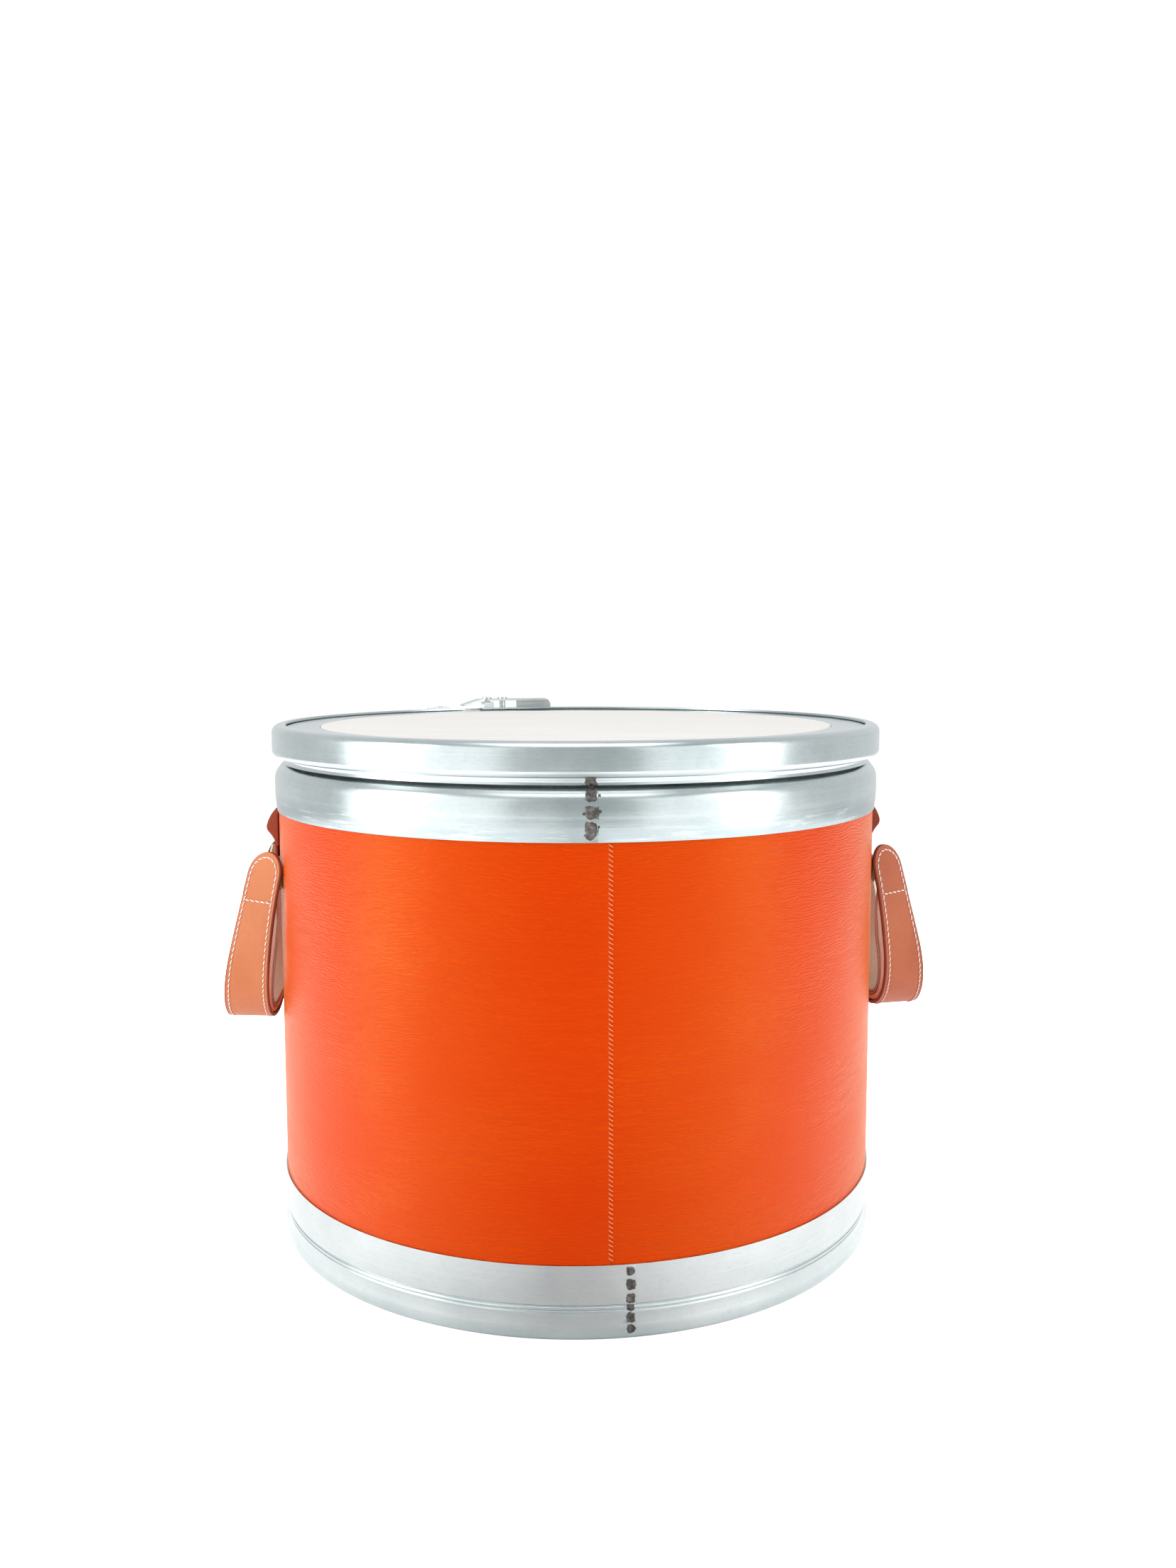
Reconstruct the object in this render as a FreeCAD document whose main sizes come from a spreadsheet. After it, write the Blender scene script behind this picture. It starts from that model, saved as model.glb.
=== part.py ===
import FreeCAD, Part
import os
import math
import Sketcher

# A leather-clad fibre drum with steel chimes, a steel lid with a wood inlay, a lever-lock
# closing ring and two hanging strap handles.
# Frame: millimetres, +Z up, origin at the centre of the foot. +Y is the back, where the
# lever is, and the handles hang near -X and +X.

Vector = FreeCAD.Vector
document = FreeCAD.newDocument("LeatherDrum")

# Driving dimensions, in millimetres and degrees.
DIMENSIONS = [
    ("body_radius", 200.0),        # outside of the leather
    ("leather", 2.0),              # leather cladding thickness
    ("wall", 4.0),                 # wound fibre wall thickness
    ("steel", 0.8),                # sheet steel of the chimes and the lid
    ("foot_shelf", 8.0),           # underside of the shelf that carries the bottom board
    ("shelf_width", 10.0),         # how far that shelf reaches inward
    ("board_height", 5.0),         # bottom board thickness
    ("low_rim", 44.1),             # top edge of the bottom chime
    ("high_rim", 283.8),           # lower edge of the top chime
    ("tuck", 8.2),                 # leather hidden under each chime
    ("wall_top", 308.0),           # top end of the fibre wall
    ("bead_top", 334.0),           # top of the top chime's bead
    ("bead_round", 2.8),           # outer rounding of that bead
    ("lid_top", 337.0),            # upper face of the lid's steel
    ("inlay_radius", 171.8),
    ("inlay_depth", 6.0),
    ("ring_top", 339.0),           # upper face of the closing ring
    ("ring_height", 20.0),
    ("ring_radius", 203.4),        # outside of the closing ring
    ("ring_steel", 1.2),
    ("ring_flange", 8.8),          # how far the ring's top flange reaches inward
    ("ring_lip", 2.6),             # how far its lower lip reaches inward
    ("gap_turn", 25.3),            # the ring's gap, turned from +Y towards -X
    ("gap_half", 2.2),             # half the gap's angle
    ("lock_radius", 211.0),        # circle through the lever's pivot and the hook pin
    ("pivot_angle", 4.8),          # lever pivot, right of the gap's centre
    ("link_angle", 8.45),          # lever-to-link pin
    ("hook_angle", -6.5),          # hook pin, left of the gap's centre
    ("pin_radius", 2.45),
    ("running_gap", 0.05),         # radial clearance of every turning fit
    ("hook_gap", 0.3),             # clearance in the open hooks
    ("lever_low", 315.4),
    ("lever_high", 345.6),
    ("lever_steel", 1.4),
    ("lever_inner", 205.0),
    ("lever_outer", 218.4),
    ("lever_end", 19.6),           # angle of the lever's tip
    ("lever_nose", 6.0),           # radius of the lever's rounded nose
    ("link_high", 338.0),
    ("link_low", 324.0),
    ("ear_high", 343.1),           # outer faces of the pivot bracket's two ears
    ("ear_low", 318.3),
    ("ear_steel", 1.2),
    ("hook_high", 339.7),
    ("hook_low", 322.3),
    ("handle_turn", 3.6),          # both handles, turned from the X axis towards +Y
    ("axis_out", 204.2),           # handle hinge axis, from the drum's axis
    ("axis_up", 270.0),
    ("rod_radius", 1.8),
    ("rod_half", 18.0),            # half the rod's length
    ("bridge_low", 233.0),         # webbing's bridge along the wall, from the ground
    ("bridge_span", 15.0),         # half its angle round the drum
    ("hinge_leather", 1.9),
    ("keeper_half", 19.4),         # half the width of the fixed tab
    ("hanger_half", 9.0),          # half the width of the handle's hanger
    ("strap_half", 15.8),          # half the width of the handle's leather strap
    ("strap_leather", 2.4),
    ("loop_half", 47.6),           # half the distance between the handle's legs
    ("loop_turn_up", 191.0),       # where the legs start to turn into the bottom of the loop
    ("loop_low", 141.0),           # lowest point between leather and webbing
]


class Size:
    """A length or angle: its value, and the sheet expression that it is bound to."""

    def __init__(self, value, text):
        self.value = value
        self.text = text

    def __add__(self, other):
        other = as_size(other)
        return Size(self.value + other.value, "(%s + %s)" % (self.text, other.text))

    def __sub__(self, other):
        other = as_size(other)
        return Size(self.value - other.value, "(%s - %s)" % (self.text, other.text))

    def __mul__(self, other):
        other = as_size(other)
        return Size(self.value * other.value, "(%s * %s)" % (self.text, other.text))

    def __neg__(self):
        return Size(-self.value, "(-1 * %s)" % self.text)

    __radd__ = __add__
    __rmul__ = __mul__


def as_size(number):
    """Wrap a plain number, so that it can stand beside a Size."""
    if isinstance(number, Size):
        return number
    return Size(float(number), "%.6g" % number)


def sine(angle):
    return Size(math.sin(math.radians(angle.value)), "sin(%s)" % angle.text)


def cosine(angle):
    return Size(math.cos(math.radians(angle.value)), "cos(%s)" % angle.text)


def make_sheet():
    """Put the driving dimensions in a spreadsheet and return them by name."""
    sheet = document.addObject("Spreadsheet::Sheet", "Sizes")
    sizes = {}
    for row, (alias, number) in enumerate(DIMENSIONS, start=1):
        sheet.set("A%d" % row, alias)
        sheet.set("B%d" % row, str(number))
        sheet.setAlias("B%d" % row, alias)
        sizes[alias] = Size(number, "Sizes." + alias)
    document.recompute()
    return sizes


S = make_sheet()
subparts = []


def keep(item, label):
    """Name a finished sub-part."""
    item.Label = label
    subparts.append(item)
    return item


def new_body(label):
    return keep(document.addObject("PartDesign::Body", label), label)


def origin_plane(body, role):
    for feature in body.Origin.OriginFeatures:
        if feature.Role == role:
            return feature


def arc_edge(start, end, radius):
    """Arc from start to end. A positive radius turns left, a negative one turns right."""
    chord = end - start
    half = chord.Length / 2
    rise = math.sqrt(max(radius * radius - half * half, 0.0))
    left = Vector(-chord.y, chord.x, 0).normalize()
    side = 1 if radius > 0 else -1
    centre = (start + end) * 0.5 + left * (rise * side)
    first, last = (start, end) if radius > 0 else (end, start)
    angles = [math.atan2(point.y - centre.y, point.x - centre.x) for point in (first, last)]
    circle = Part.Circle(centre, Vector(0, 0, 1), abs(radius))
    return Part.ArcOfCircle(circle, angles[0], angles[1])


def place_point(sketch, edge, end, across, up):
    """Tie one end of an edge to its place in the sketch."""
    for kind, size in (("DistanceX", across), ("DistanceY", up)):
        size = as_size(size)
        index = sketch.addConstraint(Sketcher.Constraint(kind, -1, 1, edge, end, size.value))
        sketch.setExpression("Constraints[%d]" % index, size.text)


def new_sketch(body, name, plane, lift):
    sketch = body.newObject("Sketcher::SketchObject", name)
    sketch.AttachmentSupport = [(origin_plane(body, plane), "")]
    sketch.MapMode = "FlatFace"
    lift = as_size(lift)
    sketch.AttachmentOffset = FreeCAD.Placement(Vector(0, 0, lift.value), FreeCAD.Rotation())
    sketch.setExpression("AttachmentOffset.Base.z", lift.text)
    return sketch


def outline(body, name, plane, corners, lift=0):
    """Closed outline. A corner is (across, up), or (across, up, radius) where an arc leaves it."""
    sketch = new_sketch(body, name, plane, lift)
    add_outline(sketch, corners)
    return sketch


def add_outline(sketch, corners):
    points = [Vector(as_size(c[0]).value, as_size(c[1]).value, 0) for c in corners]
    starts = []
    for index, corner in enumerate(corners):
        start = points[index]
        end = points[(index + 1) % len(points)]
        if len(corner) == 2:
            edge = sketch.addGeometry(Part.LineSegment(start, end))
            starts.append((edge, 1, 2))
            continue
        radius = as_size(corner[2])
        edge = sketch.addGeometry(arc_edge(start, end, radius.value))
        starts.append((edge, 1, 2) if radius.value > 0 else (edge, 2, 1))
    for index, (edge, first, last) in enumerate(starts):
        after = starts[(index + 1) % len(starts)]
        sketch.addConstraint(Sketcher.Constraint("Coincident", edge, last, after[0], after[1]))
    for index, (edge, first, last) in enumerate(starts):
        corner = corners[index]
        place_point(sketch, edge, first, corner[0], corner[1])
        if len(corner) == 3:
            radius = as_size(corner[2])
            if radius.value < 0:
                radius = -radius
            limit = sketch.addConstraint(Sketcher.Constraint("Radius", edge, radius.value))
            sketch.setExpression("Constraints[%d]" % limit, radius.text)


def circles(body, name, plane, rounds, lift=0):
    """Sketch of circles, each given as (across, up, radius)."""
    sketch = new_sketch(body, name, plane, lift)
    for across, up, radius in rounds:
        centre = Vector(as_size(across).value, as_size(up).value, 0)
        radius = as_size(radius)
        edge = sketch.addGeometry(Part.Circle(centre, Vector(0, 0, 1), radius.value))
        place_point(sketch, edge, 3, across, up)
        limit = sketch.addConstraint(Sketcher.Constraint("Radius", edge, radius.value))
        sketch.setExpression("Constraints[%d]" % limit, radius.text)
    return sketch


def revolve(body, sketch, angle=360):
    """Turn an outline of the XZ plane about the Z axis."""
    feature = body.newObject("PartDesign::Revolution", sketch.Name + "_turn")
    feature.Profile = sketch
    feature.ReferenceAxis = (sketch, ["V_Axis"])
    feature.Angle = angle
    return feature


def pad(body, sketch, length, both_ways=False):
    feature = body.newObject("PartDesign::Pad", sketch.Name + "_pad")
    feature.Profile = sketch
    length = as_size(length)
    feature.Length = length.value
    feature.setExpression("Length", length.text)
    feature.Midplane = both_ways
    return feature


def pocket(body, sketch, length, both_ways=False, backward=True):
    """Cut a sketch into the body, and stop if it cuts nothing."""
    document.recompute()
    before = body.Shape.Volume
    feature = body.newObject("PartDesign::Pocket", sketch.Name + "_cut")
    feature.Profile = sketch
    length = as_size(length)
    feature.Length = length.value
    feature.setExpression("Length", length.text)
    feature.Midplane = both_ways
    feature.Reversed = backward
    document.recompute()
    if not body.Shape.Volume < before - 0.01:
        raise RuntimeError(sketch.Name + " cuts nothing")
    return feature


def turn_about_z(item, angle):
    """Turn a sub-part about the drum's axis, by an angle bound to the sheet."""
    angle = as_size(angle)
    item.Placement = FreeCAD.Placement(Vector(), FreeCAD.Rotation(Vector(0, 0, 1), angle.value))
    item.setExpression("Placement.Rotation.Angle", angle.text)
    return item


def ring_of(label, corners):
    """A sub-part that is one outline turned about the drum's axis."""
    body = new_body(label)
    revolve(body, outline(body, label + "_outline", "XZ_Plane", corners))
    return body


def box_corners(low_across, low_up, high_across, high_up):
    return [
        (low_across, low_up),
        (high_across, low_up),
        (high_across, high_up),
        (low_across, high_up),
    ]


def sector(inner, outer, start, end):
    """Outline of a curved plate. Angles are measured from +Y towards +X."""
    inner, outer, start, end = [as_size(value) for value in (inner, outer, start, end)]
    return [
        (inner * sine(end), inner * cosine(end), inner),
        (inner * sine(start), inner * cosine(start)),
        (outer * sine(start), outer * cosine(start), -outer),
        (outer * sine(end), outer * cosine(end)),
    ]


def group(label, members):
    """One sub-part made of several separate, identical solids."""
    document.recompute()
    compound = document.addObject("Part::Compound", label)
    compound.Links = members
    return keep(compound, label)


# Radii that several pieces share.
wall_outer = S["body_radius"] - S["leather"]
wall_inner = wall_outer - S["wall"]
chime_bore = S["body_radius"] + 0.05
shelf_top = S["foot_shelf"] + S["steel"]
tab_face = wall_inner - 1.2

# Share of a handle's half loop that is its round bottom.
BEND_SHARE = 0.42

# How far the tips of a handle's strap stay below the hinge axis.
TIP_DROP = 12.2

# The link's pin lies a little outside the line of the other two, so that the lock snaps shut.
LINK_PIN_OUT = 0.6

# Outside of the webbing's bridge and of the hanger's tail, from the leather wall.
BRIDGE_OUT = 2.3
TAIL_OUT = 4.0


def keeper_slot(body):
    """Two openings just under the top chime, where the handles' fixed tabs go through."""
    half = S["keeper_half"] + 0.4
    slot = box_corners(-half, S["high_rim"] - 5.0, half, S["high_rim"] - 0.4)
    sketch = outline(body, "slot", "YZ_Plane", slot)
    pocket(body, sketch, (S["body_radius"] + 10.0) * 2, both_ways=True)


def make_fibre_shell():
    """Wound fibre tube that stands on the bottom chime's shelf."""
    body = ring_of("fibre_shell", box_corners(wall_inner, shelf_top, wall_outer, S["wall_top"]))
    keeper_slot(body)
    rivets = circles(body, "rivet_holes", "YZ_Plane", keeper_rivet_places(1.5))
    pocket(body, rivets, (wall_inner + 2.2) * 2, both_ways=True)
    turn_about_z(body, S["handle_turn"])


def make_leather_wrap():
    """Leather cladding, tucked under both chimes."""
    low = S["low_rim"] - S["tuck"]
    high = S["high_rim"] + S["tuck"]
    body = ring_of("leather_wrap", box_corners(wall_outer, low, S["body_radius"], high))
    keeper_slot(body)
    turn_about_z(body, S["handle_turn"])


def make_seam_thread():
    """Thread of the leather's upright seam: a row of short slanting stitches, as one strip."""
    body = new_body("seam_thread")
    front = 180 - 5.4
    half_angle = 0.33
    corners = sector(S["body_radius"] + 0.02, S["body_radius"] + 0.5, front - half_angle, front + half_angle)
    lift = S["low_rim"] + 1.0
    pad(body, outline(body, "strip", "XY_Plane", corners, lift), S["high_rim"] - S["low_rim"] - 2.0)


def make_top_chime():
    """Rolled sheet: an outer skirt over the leather, a neck, a bead and an inner skirt."""
    steel = S["steel"]
    rim = S["high_rim"]
    bead = S["bead_top"]
    turn = S["bead_round"]
    skirt = chime_bore + steel
    inner_face = wall_inner - steel - 0.1
    bead_outer = S["body_radius"] - 1.1
    crown = inner_face + turn
    corners = [
        (skirt, rim, 90),
        (skirt + 1.05, rim + 13.0, 60),
        (skirt + 0.95, rim + 20.5, 9.5),
        (skirt - 1.75, rim + 27.2, 12),
        (skirt - 5.0, rim + 30.6, -3.2),
        (skirt - 5.0, rim + 33.8, -5.5),
        (bead_outer, rim + 38.2),
        (bead_outer, bead - turn, turn),
        (bead_outer - turn, bead),
        (crown, bead, turn),
        (inner_face, bead - turn),
        (inner_face, rim + 12.0),
        (inner_face + steel, rim + 12.0),
        (inner_face + steel, bead - turn, -(turn - steel)),
        (crown, bead - steel),
        (bead_outer - turn, bead - steel, -(turn - steel)),
        (bead_outer - steel, bead - turn),
        (bead_outer - steel, rim + 38.5, 6.3),
        (skirt - 5.0 - steel, rim + 34.2, 4.0),
        (skirt - 5.0 - steel, rim + 30.1, -11.2),
        (skirt - 1.75 - 0.58, rim + 26.65, -8.7),
        (skirt + 0.95 - steel, rim + 20.3, -59.2),
        (skirt + 1.05 - steel, rim + 13.0, -89.2),
        (skirt - steel, rim),
    ]
    ring_of("top_chime", corners)


def make_bottom_chime():
    """Rolled sheet foot: a ribbed outer wall, a rolled edge and a shelf for the board."""
    steel = S["steel"]
    skirt = chime_bore + steel
    shelf = S["foot_shelf"]
    roll = skirt - 4.2
    shelf_end = wall_inner - S["shelf_width"]
    corners = [
        (chime_bore, S["low_rim"]),
        (chime_bore, 20.8),
        (chime_bore - 0.75, 19.6),
        (chime_bore - 0.05, 18.3),
        (chime_bore - 0.85, 17.0),
        (chime_bore - 0.3, 15.8),
        (chime_bore - 0.6, 12.2),
        (chime_bore + 0.5, 8.6),
        (chime_bore + 0.75, 3.6, -2.8),
        (roll + 2.2, steel),
        (roll + 1.6, steel, -1.6),
        (roll, 2.4),
        (roll, shelf + steel),
        (shelf_end, shelf + steel),
        (shelf_end, shelf),
        (roll - steel, shelf),
        (roll - steel, 2.4, 2.4),
        (roll + 1.6, 0),
        (roll + 2.2, 0, 3.6),
        (skirt + 0.75, 3.6),
        (skirt + 0.5, 8.8),
        (skirt - 0.6, 12.4),
        (skirt - 0.3, 15.8, 1.6),
        (skirt - 0.85, 17.0, -1.2),
        (skirt - 0.05, 18.3, 1.6),
        (skirt - 0.75, 19.6, -1.4),
        (skirt, 21.0),
        (skirt, S["low_rim"]),
    ]
    ring_of("bottom_chime", corners)


def make_welds(label, angle, spots):
    """Spot welds of a chime's lap joint, one above the other.

    Each spot is given by its radius from the drum's axis, its height, its own radius and how
    far it leans back with the sheet it lies on.
    """
    members = []
    across = Vector(math.cos(math.radians(angle)), math.sin(math.radians(angle)), 0)
    for number, (radius, height, size, lean) in enumerate(spots):
        nugget = document.addObject("Part::Cylinder", "%s_%d" % (label, number))
        nugget.Radius = size
        nugget.Height = 0.3
        out = Vector(across.y, -across.x, 0)
        place = out * radius.value + Vector(0, 0, height.value)
        turn = FreeCAD.Rotation(across, -lean) * FreeCAD.Rotation(Vector(0, 0, 1), out)
        nugget.Placement = FreeCAD.Placement(place, turn)
        members.append(nugget)
    group(label, members)


def make_bottom_board():
    """Round board that lies on the bottom chime's shelf."""
    body = new_body("bottom_board")
    disc = circles(body, "disc", "XY_Plane", [(0, 0, wall_inner - 0.3)], shelf_top)
    pad(body, disc, S["board_height"])


def make_lid_pan():
    """Steel lid: a flat deck with a round recess, and a skirt that covers the bead."""
    steel = S["steel"]
    top = S["lid_top"]
    floor = top + 0.1 - S["inlay_depth"]
    well = S["inlay_radius"] + 0.3
    skirt = S["body_radius"]
    low = S["ring_top"] - S["ring_height"] + 6.5
    corners = [
        (0, floor),
        (0, floor - steel),
        (well + steel, floor - steel),
        (well + steel, top - steel),
        (skirt - 2.8, top - steel, -2.0),
        (skirt - steel, top - 2.8),
        (skirt - steel, low),
        (skirt, low),
        (skirt, top - 2.8, 2.8),
        (skirt - 2.8, top),
        (well + 0.6, top, 0.6),
        (well, top - 0.6),
        (well, floor),
    ]
    body = ring_of("lid_pan", corners)
    pocket(body, circles(body, "screw_holes", "XY_Plane", screw_places(2.2), floor - steel - 1.0), 4.0)


def screw_places(radius):
    """Four screws, evenly round the inlay."""
    reach = S["inlay_radius"] * 0.62
    return [(reach, 0, radius), (0, reach, radius), (-reach, 0, radius), (0, -reach, radius)]


def make_lid_gasket():
    """Rubber gasket in the lid's rim, between the deck and the bead."""
    low = S["bead_top"] + 0.35
    high = S["lid_top"] - S["steel"] - 0.05
    outer = S["body_radius"] - 3.0
    ring_of("lid_gasket", box_corners(outer - 4.2, low, outer, high))


def make_lid_wood_disc():
    """Wood inlay, with a softened upper edge and blind holes for its screws."""
    radius = S["inlay_radius"]
    top = S["lid_top"] + 0.1
    floor = top - S["inlay_depth"]
    corners = [(0, floor), (radius, floor), (radius, top - 0.5, 0.5), (radius - 0.5, top), (0, top)]
    body = ring_of("lid_wood_disc", corners)
    pocket(body, circles(body, "blind_holes", "XY_Plane", screw_places(2.0), floor - 0.5), 4.6)


def make_lid_screws():
    """Pan-head screws that hold the inlay from below."""
    floor = S["lid_top"] + 0.1 - S["inlay_depth"] - S["steel"]
    body_list = []
    for number, (across, up, radius) in enumerate(screw_places(2.0)):
        across, up = as_size(across), as_size(up)
        shank = document.addObject("Part::Cylinder", "screw_shank_%d" % number)
        shank.Radius = radius
        shank.Height = 4.6
        head = document.addObject("Part::Cone", "screw_head_%d" % number)
        head.Radius1 = 2.6
        head.Radius2 = 4.0
        head.Height = 1.4
        screw = document.addObject("Part::Fuse", "screw_%d" % number)
        screw.Base = shank
        screw.Tool = head
        for piece, height in ((shank, floor - 0.1), (head, floor - 1.4)):
            piece.setExpression("Placement.Base.x", across.text)
            piece.setExpression("Placement.Base.y", up.text)
            piece.setExpression("Placement.Base.z", height.text)
        body_list.append(screw)
    group("lid_disc_screws", body_list)


def make_closing_ring():
    """Split ring of C section that clamps the lid's rim; its gap is closed by the lever."""
    steel = S["ring_steel"]
    top = S["ring_top"]
    low = top - S["ring_height"]
    outer = S["ring_radius"]
    corners = [
        (outer - S["ring_flange"], top - steel),
        (outer - 5.0, top - steel, -3.8),
        (outer - steel, top - 5.0),
        (outer - steel, low + 4.0, -2.8),
        (outer - S["ring_lip"], low + steel),
        (outer - S["ring_lip"], low, 4.4),
        (outer, low + 4.0),
        (outer, top - 5.0, 5.0),
        (outer - 5.0, top),
        (outer - S["ring_flange"], top),
    ]
    body = ring_of("closing_ring", corners)
    wedge = sector(outer - 20.0, outer + 5.0, -S["gap_half"], S["gap_half"])
    pocket(body, outline(body, "gap", "XY_Plane", wedge, low - 1.0), S["ring_height"] + 2.0)
    turn_about_z(body, S["gap_turn"])


def lock_point(angle, out=0):
    """Point on the circle of the lock's pins, as (across, up) in the plan."""
    radius = S["lock_radius"] + out
    return radius * sine(angle), radius * cosine(angle)


def plate(body, name, corners, low, high):
    return pad(body, outline(body, name, "XY_Plane", corners, low), high - low)


def make_lever_bracket():
    """Bracket on the right ring end: a base on the ring, and two ears for the lever's rivets."""
    body = new_body("lever_bracket")
    face = S["ring_radius"]
    start, end = S["pivot_angle"] - 1.5, S["pivot_angle"] + 5.0
    base = sector(face, face + S["ear_steel"], start, end)
    plate(body, "base", base, S["ear_low"], S["ring_top"] - 0.4)
    post = sector(face, face + S["ear_steel"], S["pivot_angle"] - 1.1, S["pivot_angle"] + 1.1)
    plate(body, "post", post, S["ear_low"], S["ear_high"])
    ear = sector(face, S["lock_radius"] + 3.4, S["pivot_angle"] - 1.1, S["pivot_angle"] + 1.1)
    for name, low in (("lower_ear", S["ear_low"]), ("upper_ear", S["ear_high"] - S["ear_steel"])):
        plate(body, name, ear, low, low + S["ear_steel"])
    across, up = lock_point(S["pivot_angle"])
    holes = circles(body, "rivet_hole", "XY_Plane", [(across, up, S["pin_radius"])], S["ear_low"] - 1.0)
    pocket(body, holes, 40.0)
    turn_about_z(body, S["gap_turn"])


def make_hook_bracket():
    """Bracket on the left ring end, with two open hooks for the link's cross pin."""
    body = new_body("hook_bracket")
    face = S["ring_radius"]
    mid = S["hook_angle"]
    plate(body, "base", sector(face, face + S["ear_steel"], mid - 4.0, mid + 1.9), S["hook_low"], S["hook_high"])
    across, up = lock_point(mid)
    seat = S["pin_radius"] + S["hook_gap"]
    hook = sector(face, S["lock_radius"] + 3.6, mid - 1.7, mid + 1.9)
    for name, low in (("lower_hook", S["hook_low"]), ("upper_hook", S["hook_high"] - S["ear_steel"])):
        plate(body, name, hook, low, low + S["ear_steel"])
    bore = circles(body, "seat", "XY_Plane", [(across, up, seat)], S["hook_low"] - 1.0)
    pocket(body, bore, 40.0)
    mouth = box_corners(across - 12.0, up - 1.5, across + seat, up + 12.0)
    pocket(body, outline(body, "mouth", "XY_Plane", mouth, S["hook_low"] - 1.0), 40.0)
    turn_about_z(body, S["gap_turn"])


def rivet(name, angle, low, high, heads, out=0):
    """Upright rivet: a shank from low to high, with heads given as (low, height, radius)."""
    across, up = lock_point(angle, out)
    pieces = [(low, high - low, S["pin_radius"])]
    pieces += heads
    solids = []
    for number, (base, height, radius) in enumerate(pieces):
        cylinder = document.addObject("Part::Cylinder", "%s_%d" % (name, number))
        for axis, size in (("x", across), ("y", up), ("z", as_size(base))):
            cylinder.setExpression("Placement.Base." + axis, size.text)
        cylinder.setExpression("Height", as_size(height).text)
        cylinder.setExpression("Radius", as_size(radius).text)
        solids.append(cylinder)
    if len(solids) == 1:
        return solids[0]
    fused = document.addObject("Part::MultiFuse", name)
    fused.Shapes = solids
    return fused


def make_pivot_rivets():
    """Two short rivets, one above and one below, on which the lever turns."""
    top, low, ear = S["lever_high"], S["lever_low"], S["ear_steel"]
    head = S["pin_radius"] + 1.5
    upper = rivet(
        "upper_rivet", S["pivot_angle"], S["ear_high"] - ear - 1.0, top + 1.3,
        [(top + 0.1, 1.2, head), (S["ear_high"] - ear - 1.0, 1.0, head)],
    )
    lower = rivet(
        "lower_rivet", S["pivot_angle"], low - 1.3, S["ear_low"] + ear + 1.0,
        [(low - 1.3, 1.2, head), (S["ear_low"] + ear, 1.0, head)],
    )
    turn_about_z(group("lever_pivot_rivets", [upper, lower]), S["gap_turn"])


def make_lever():
    """Channel-shaped lever: two flanges, a web, a rounded nose and a sloping front plate."""
    body = new_body("lever")
    inner, outer, steel = S["lever_inner"], S["lever_outer"], S["lever_steel"]
    low, high = S["lever_low"], S["lever_high"]
    pivot = S["pivot_angle"]
    plate(body, "block", sector(inner, outer, pivot, S["lever_end"]), low, high)
    across, up = lock_point(pivot)
    pad(body, circles(body, "nose", "XY_Plane", [(across, up, S["lever_nose"])], low), high - low)
    round_lever_tip(body)
    channel = sector(inner - 3.0, outer - steel, pivot - 4.0, S["lever_end"] + 1.0)
    pocket(body, outline(body, "channel", "XY_Plane", channel, low + steel), high - low - steel * 2)
    notch = sector(outer - steel - 1.0, outer + 1.0, pivot - 4.0, pivot + 7.2)
    pocket(body, outline(body, "notch", "XY_Plane", notch, low + steel), high - low - steel * 2)
    pin_across, pin_up = lock_point(S["link_angle"], LINK_PIN_OUT)
    pin_hole = [(pin_across, pin_up, S["pin_radius"])]
    pocket(body, circles(body, "pin_holes", "XY_Plane", pin_hole, low - 1.0), 40.0)
    slot = sector(210.4, 213.0, 10.0, 13.2)
    pocket(body, outline(body, "lock_slot", "XY_Plane", slot, high - steel - 0.5), 4.0)
    slope = [
        (across - 5.9, high),
        (across - 5.9, high - steel),
        (across - 20.6, high - steel - 4.3),
        (across - 20.6, high - 4.3),
    ]
    nose = outline(body, "slope", "XZ_Plane", slope, -(up + 2.6))
    pad(body, nose, 9.6, both_ways=True)
    bridge = box_corners(across - 6.2, up - 2.2, across, up + 5.4)
    plate(body, "bridge", bridge, high - steel, high)
    rivet_hole = [(across, up, S["pin_radius"] + S["running_gap"])]
    pocket(body, circles(body, "rivet_holes", "XY_Plane", rivet_hole, low - 1.0), 40.0)
    turn_about_z(body, S["gap_turn"])


def round_lever_tip(body):
    """Round the two corners of the lever's free end."""
    document.recompute()
    end = S["lever_end"].value
    radius = (S["lever_inner"].value + S["lever_outer"].value) / 2
    tip = Vector(radius * math.sin(math.radians(end)), radius * math.cos(math.radians(end)), 0)
    names = []
    for number, edge in enumerate(body.Shape.Edges, start=1):
        middle = edge.CenterOfMass
        flat = Vector(middle.x, middle.y, 0)
        level = min(abs(middle.z - S["lever_low"].value), abs(middle.z - S["lever_high"].value))
        if level < 0.01 and (flat - tip).Length < 0.5:
            names.append("Edge%d" % number)
    unrounded = body.Tip
    fillet = body.newObject("PartDesign::Fillet", "tip_round")
    fillet.Base = (unrounded, names)
    fillet.Radius = 6.0


def make_link_pin():
    """Rivet that ties the link to the lever."""
    top, low = S["lever_high"], S["lever_low"]
    head = S["pin_radius"] + 1.5
    heads = [(top, 1.2, head), (low - 1.2, 1.2, head)]
    pin = rivet("link_pin_body", S["link_angle"], low - 1.2, top + 1.2, heads, LINK_PIN_OUT)
    turn_about_z(keep(pin, "link_pin"), S["gap_turn"])


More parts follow.
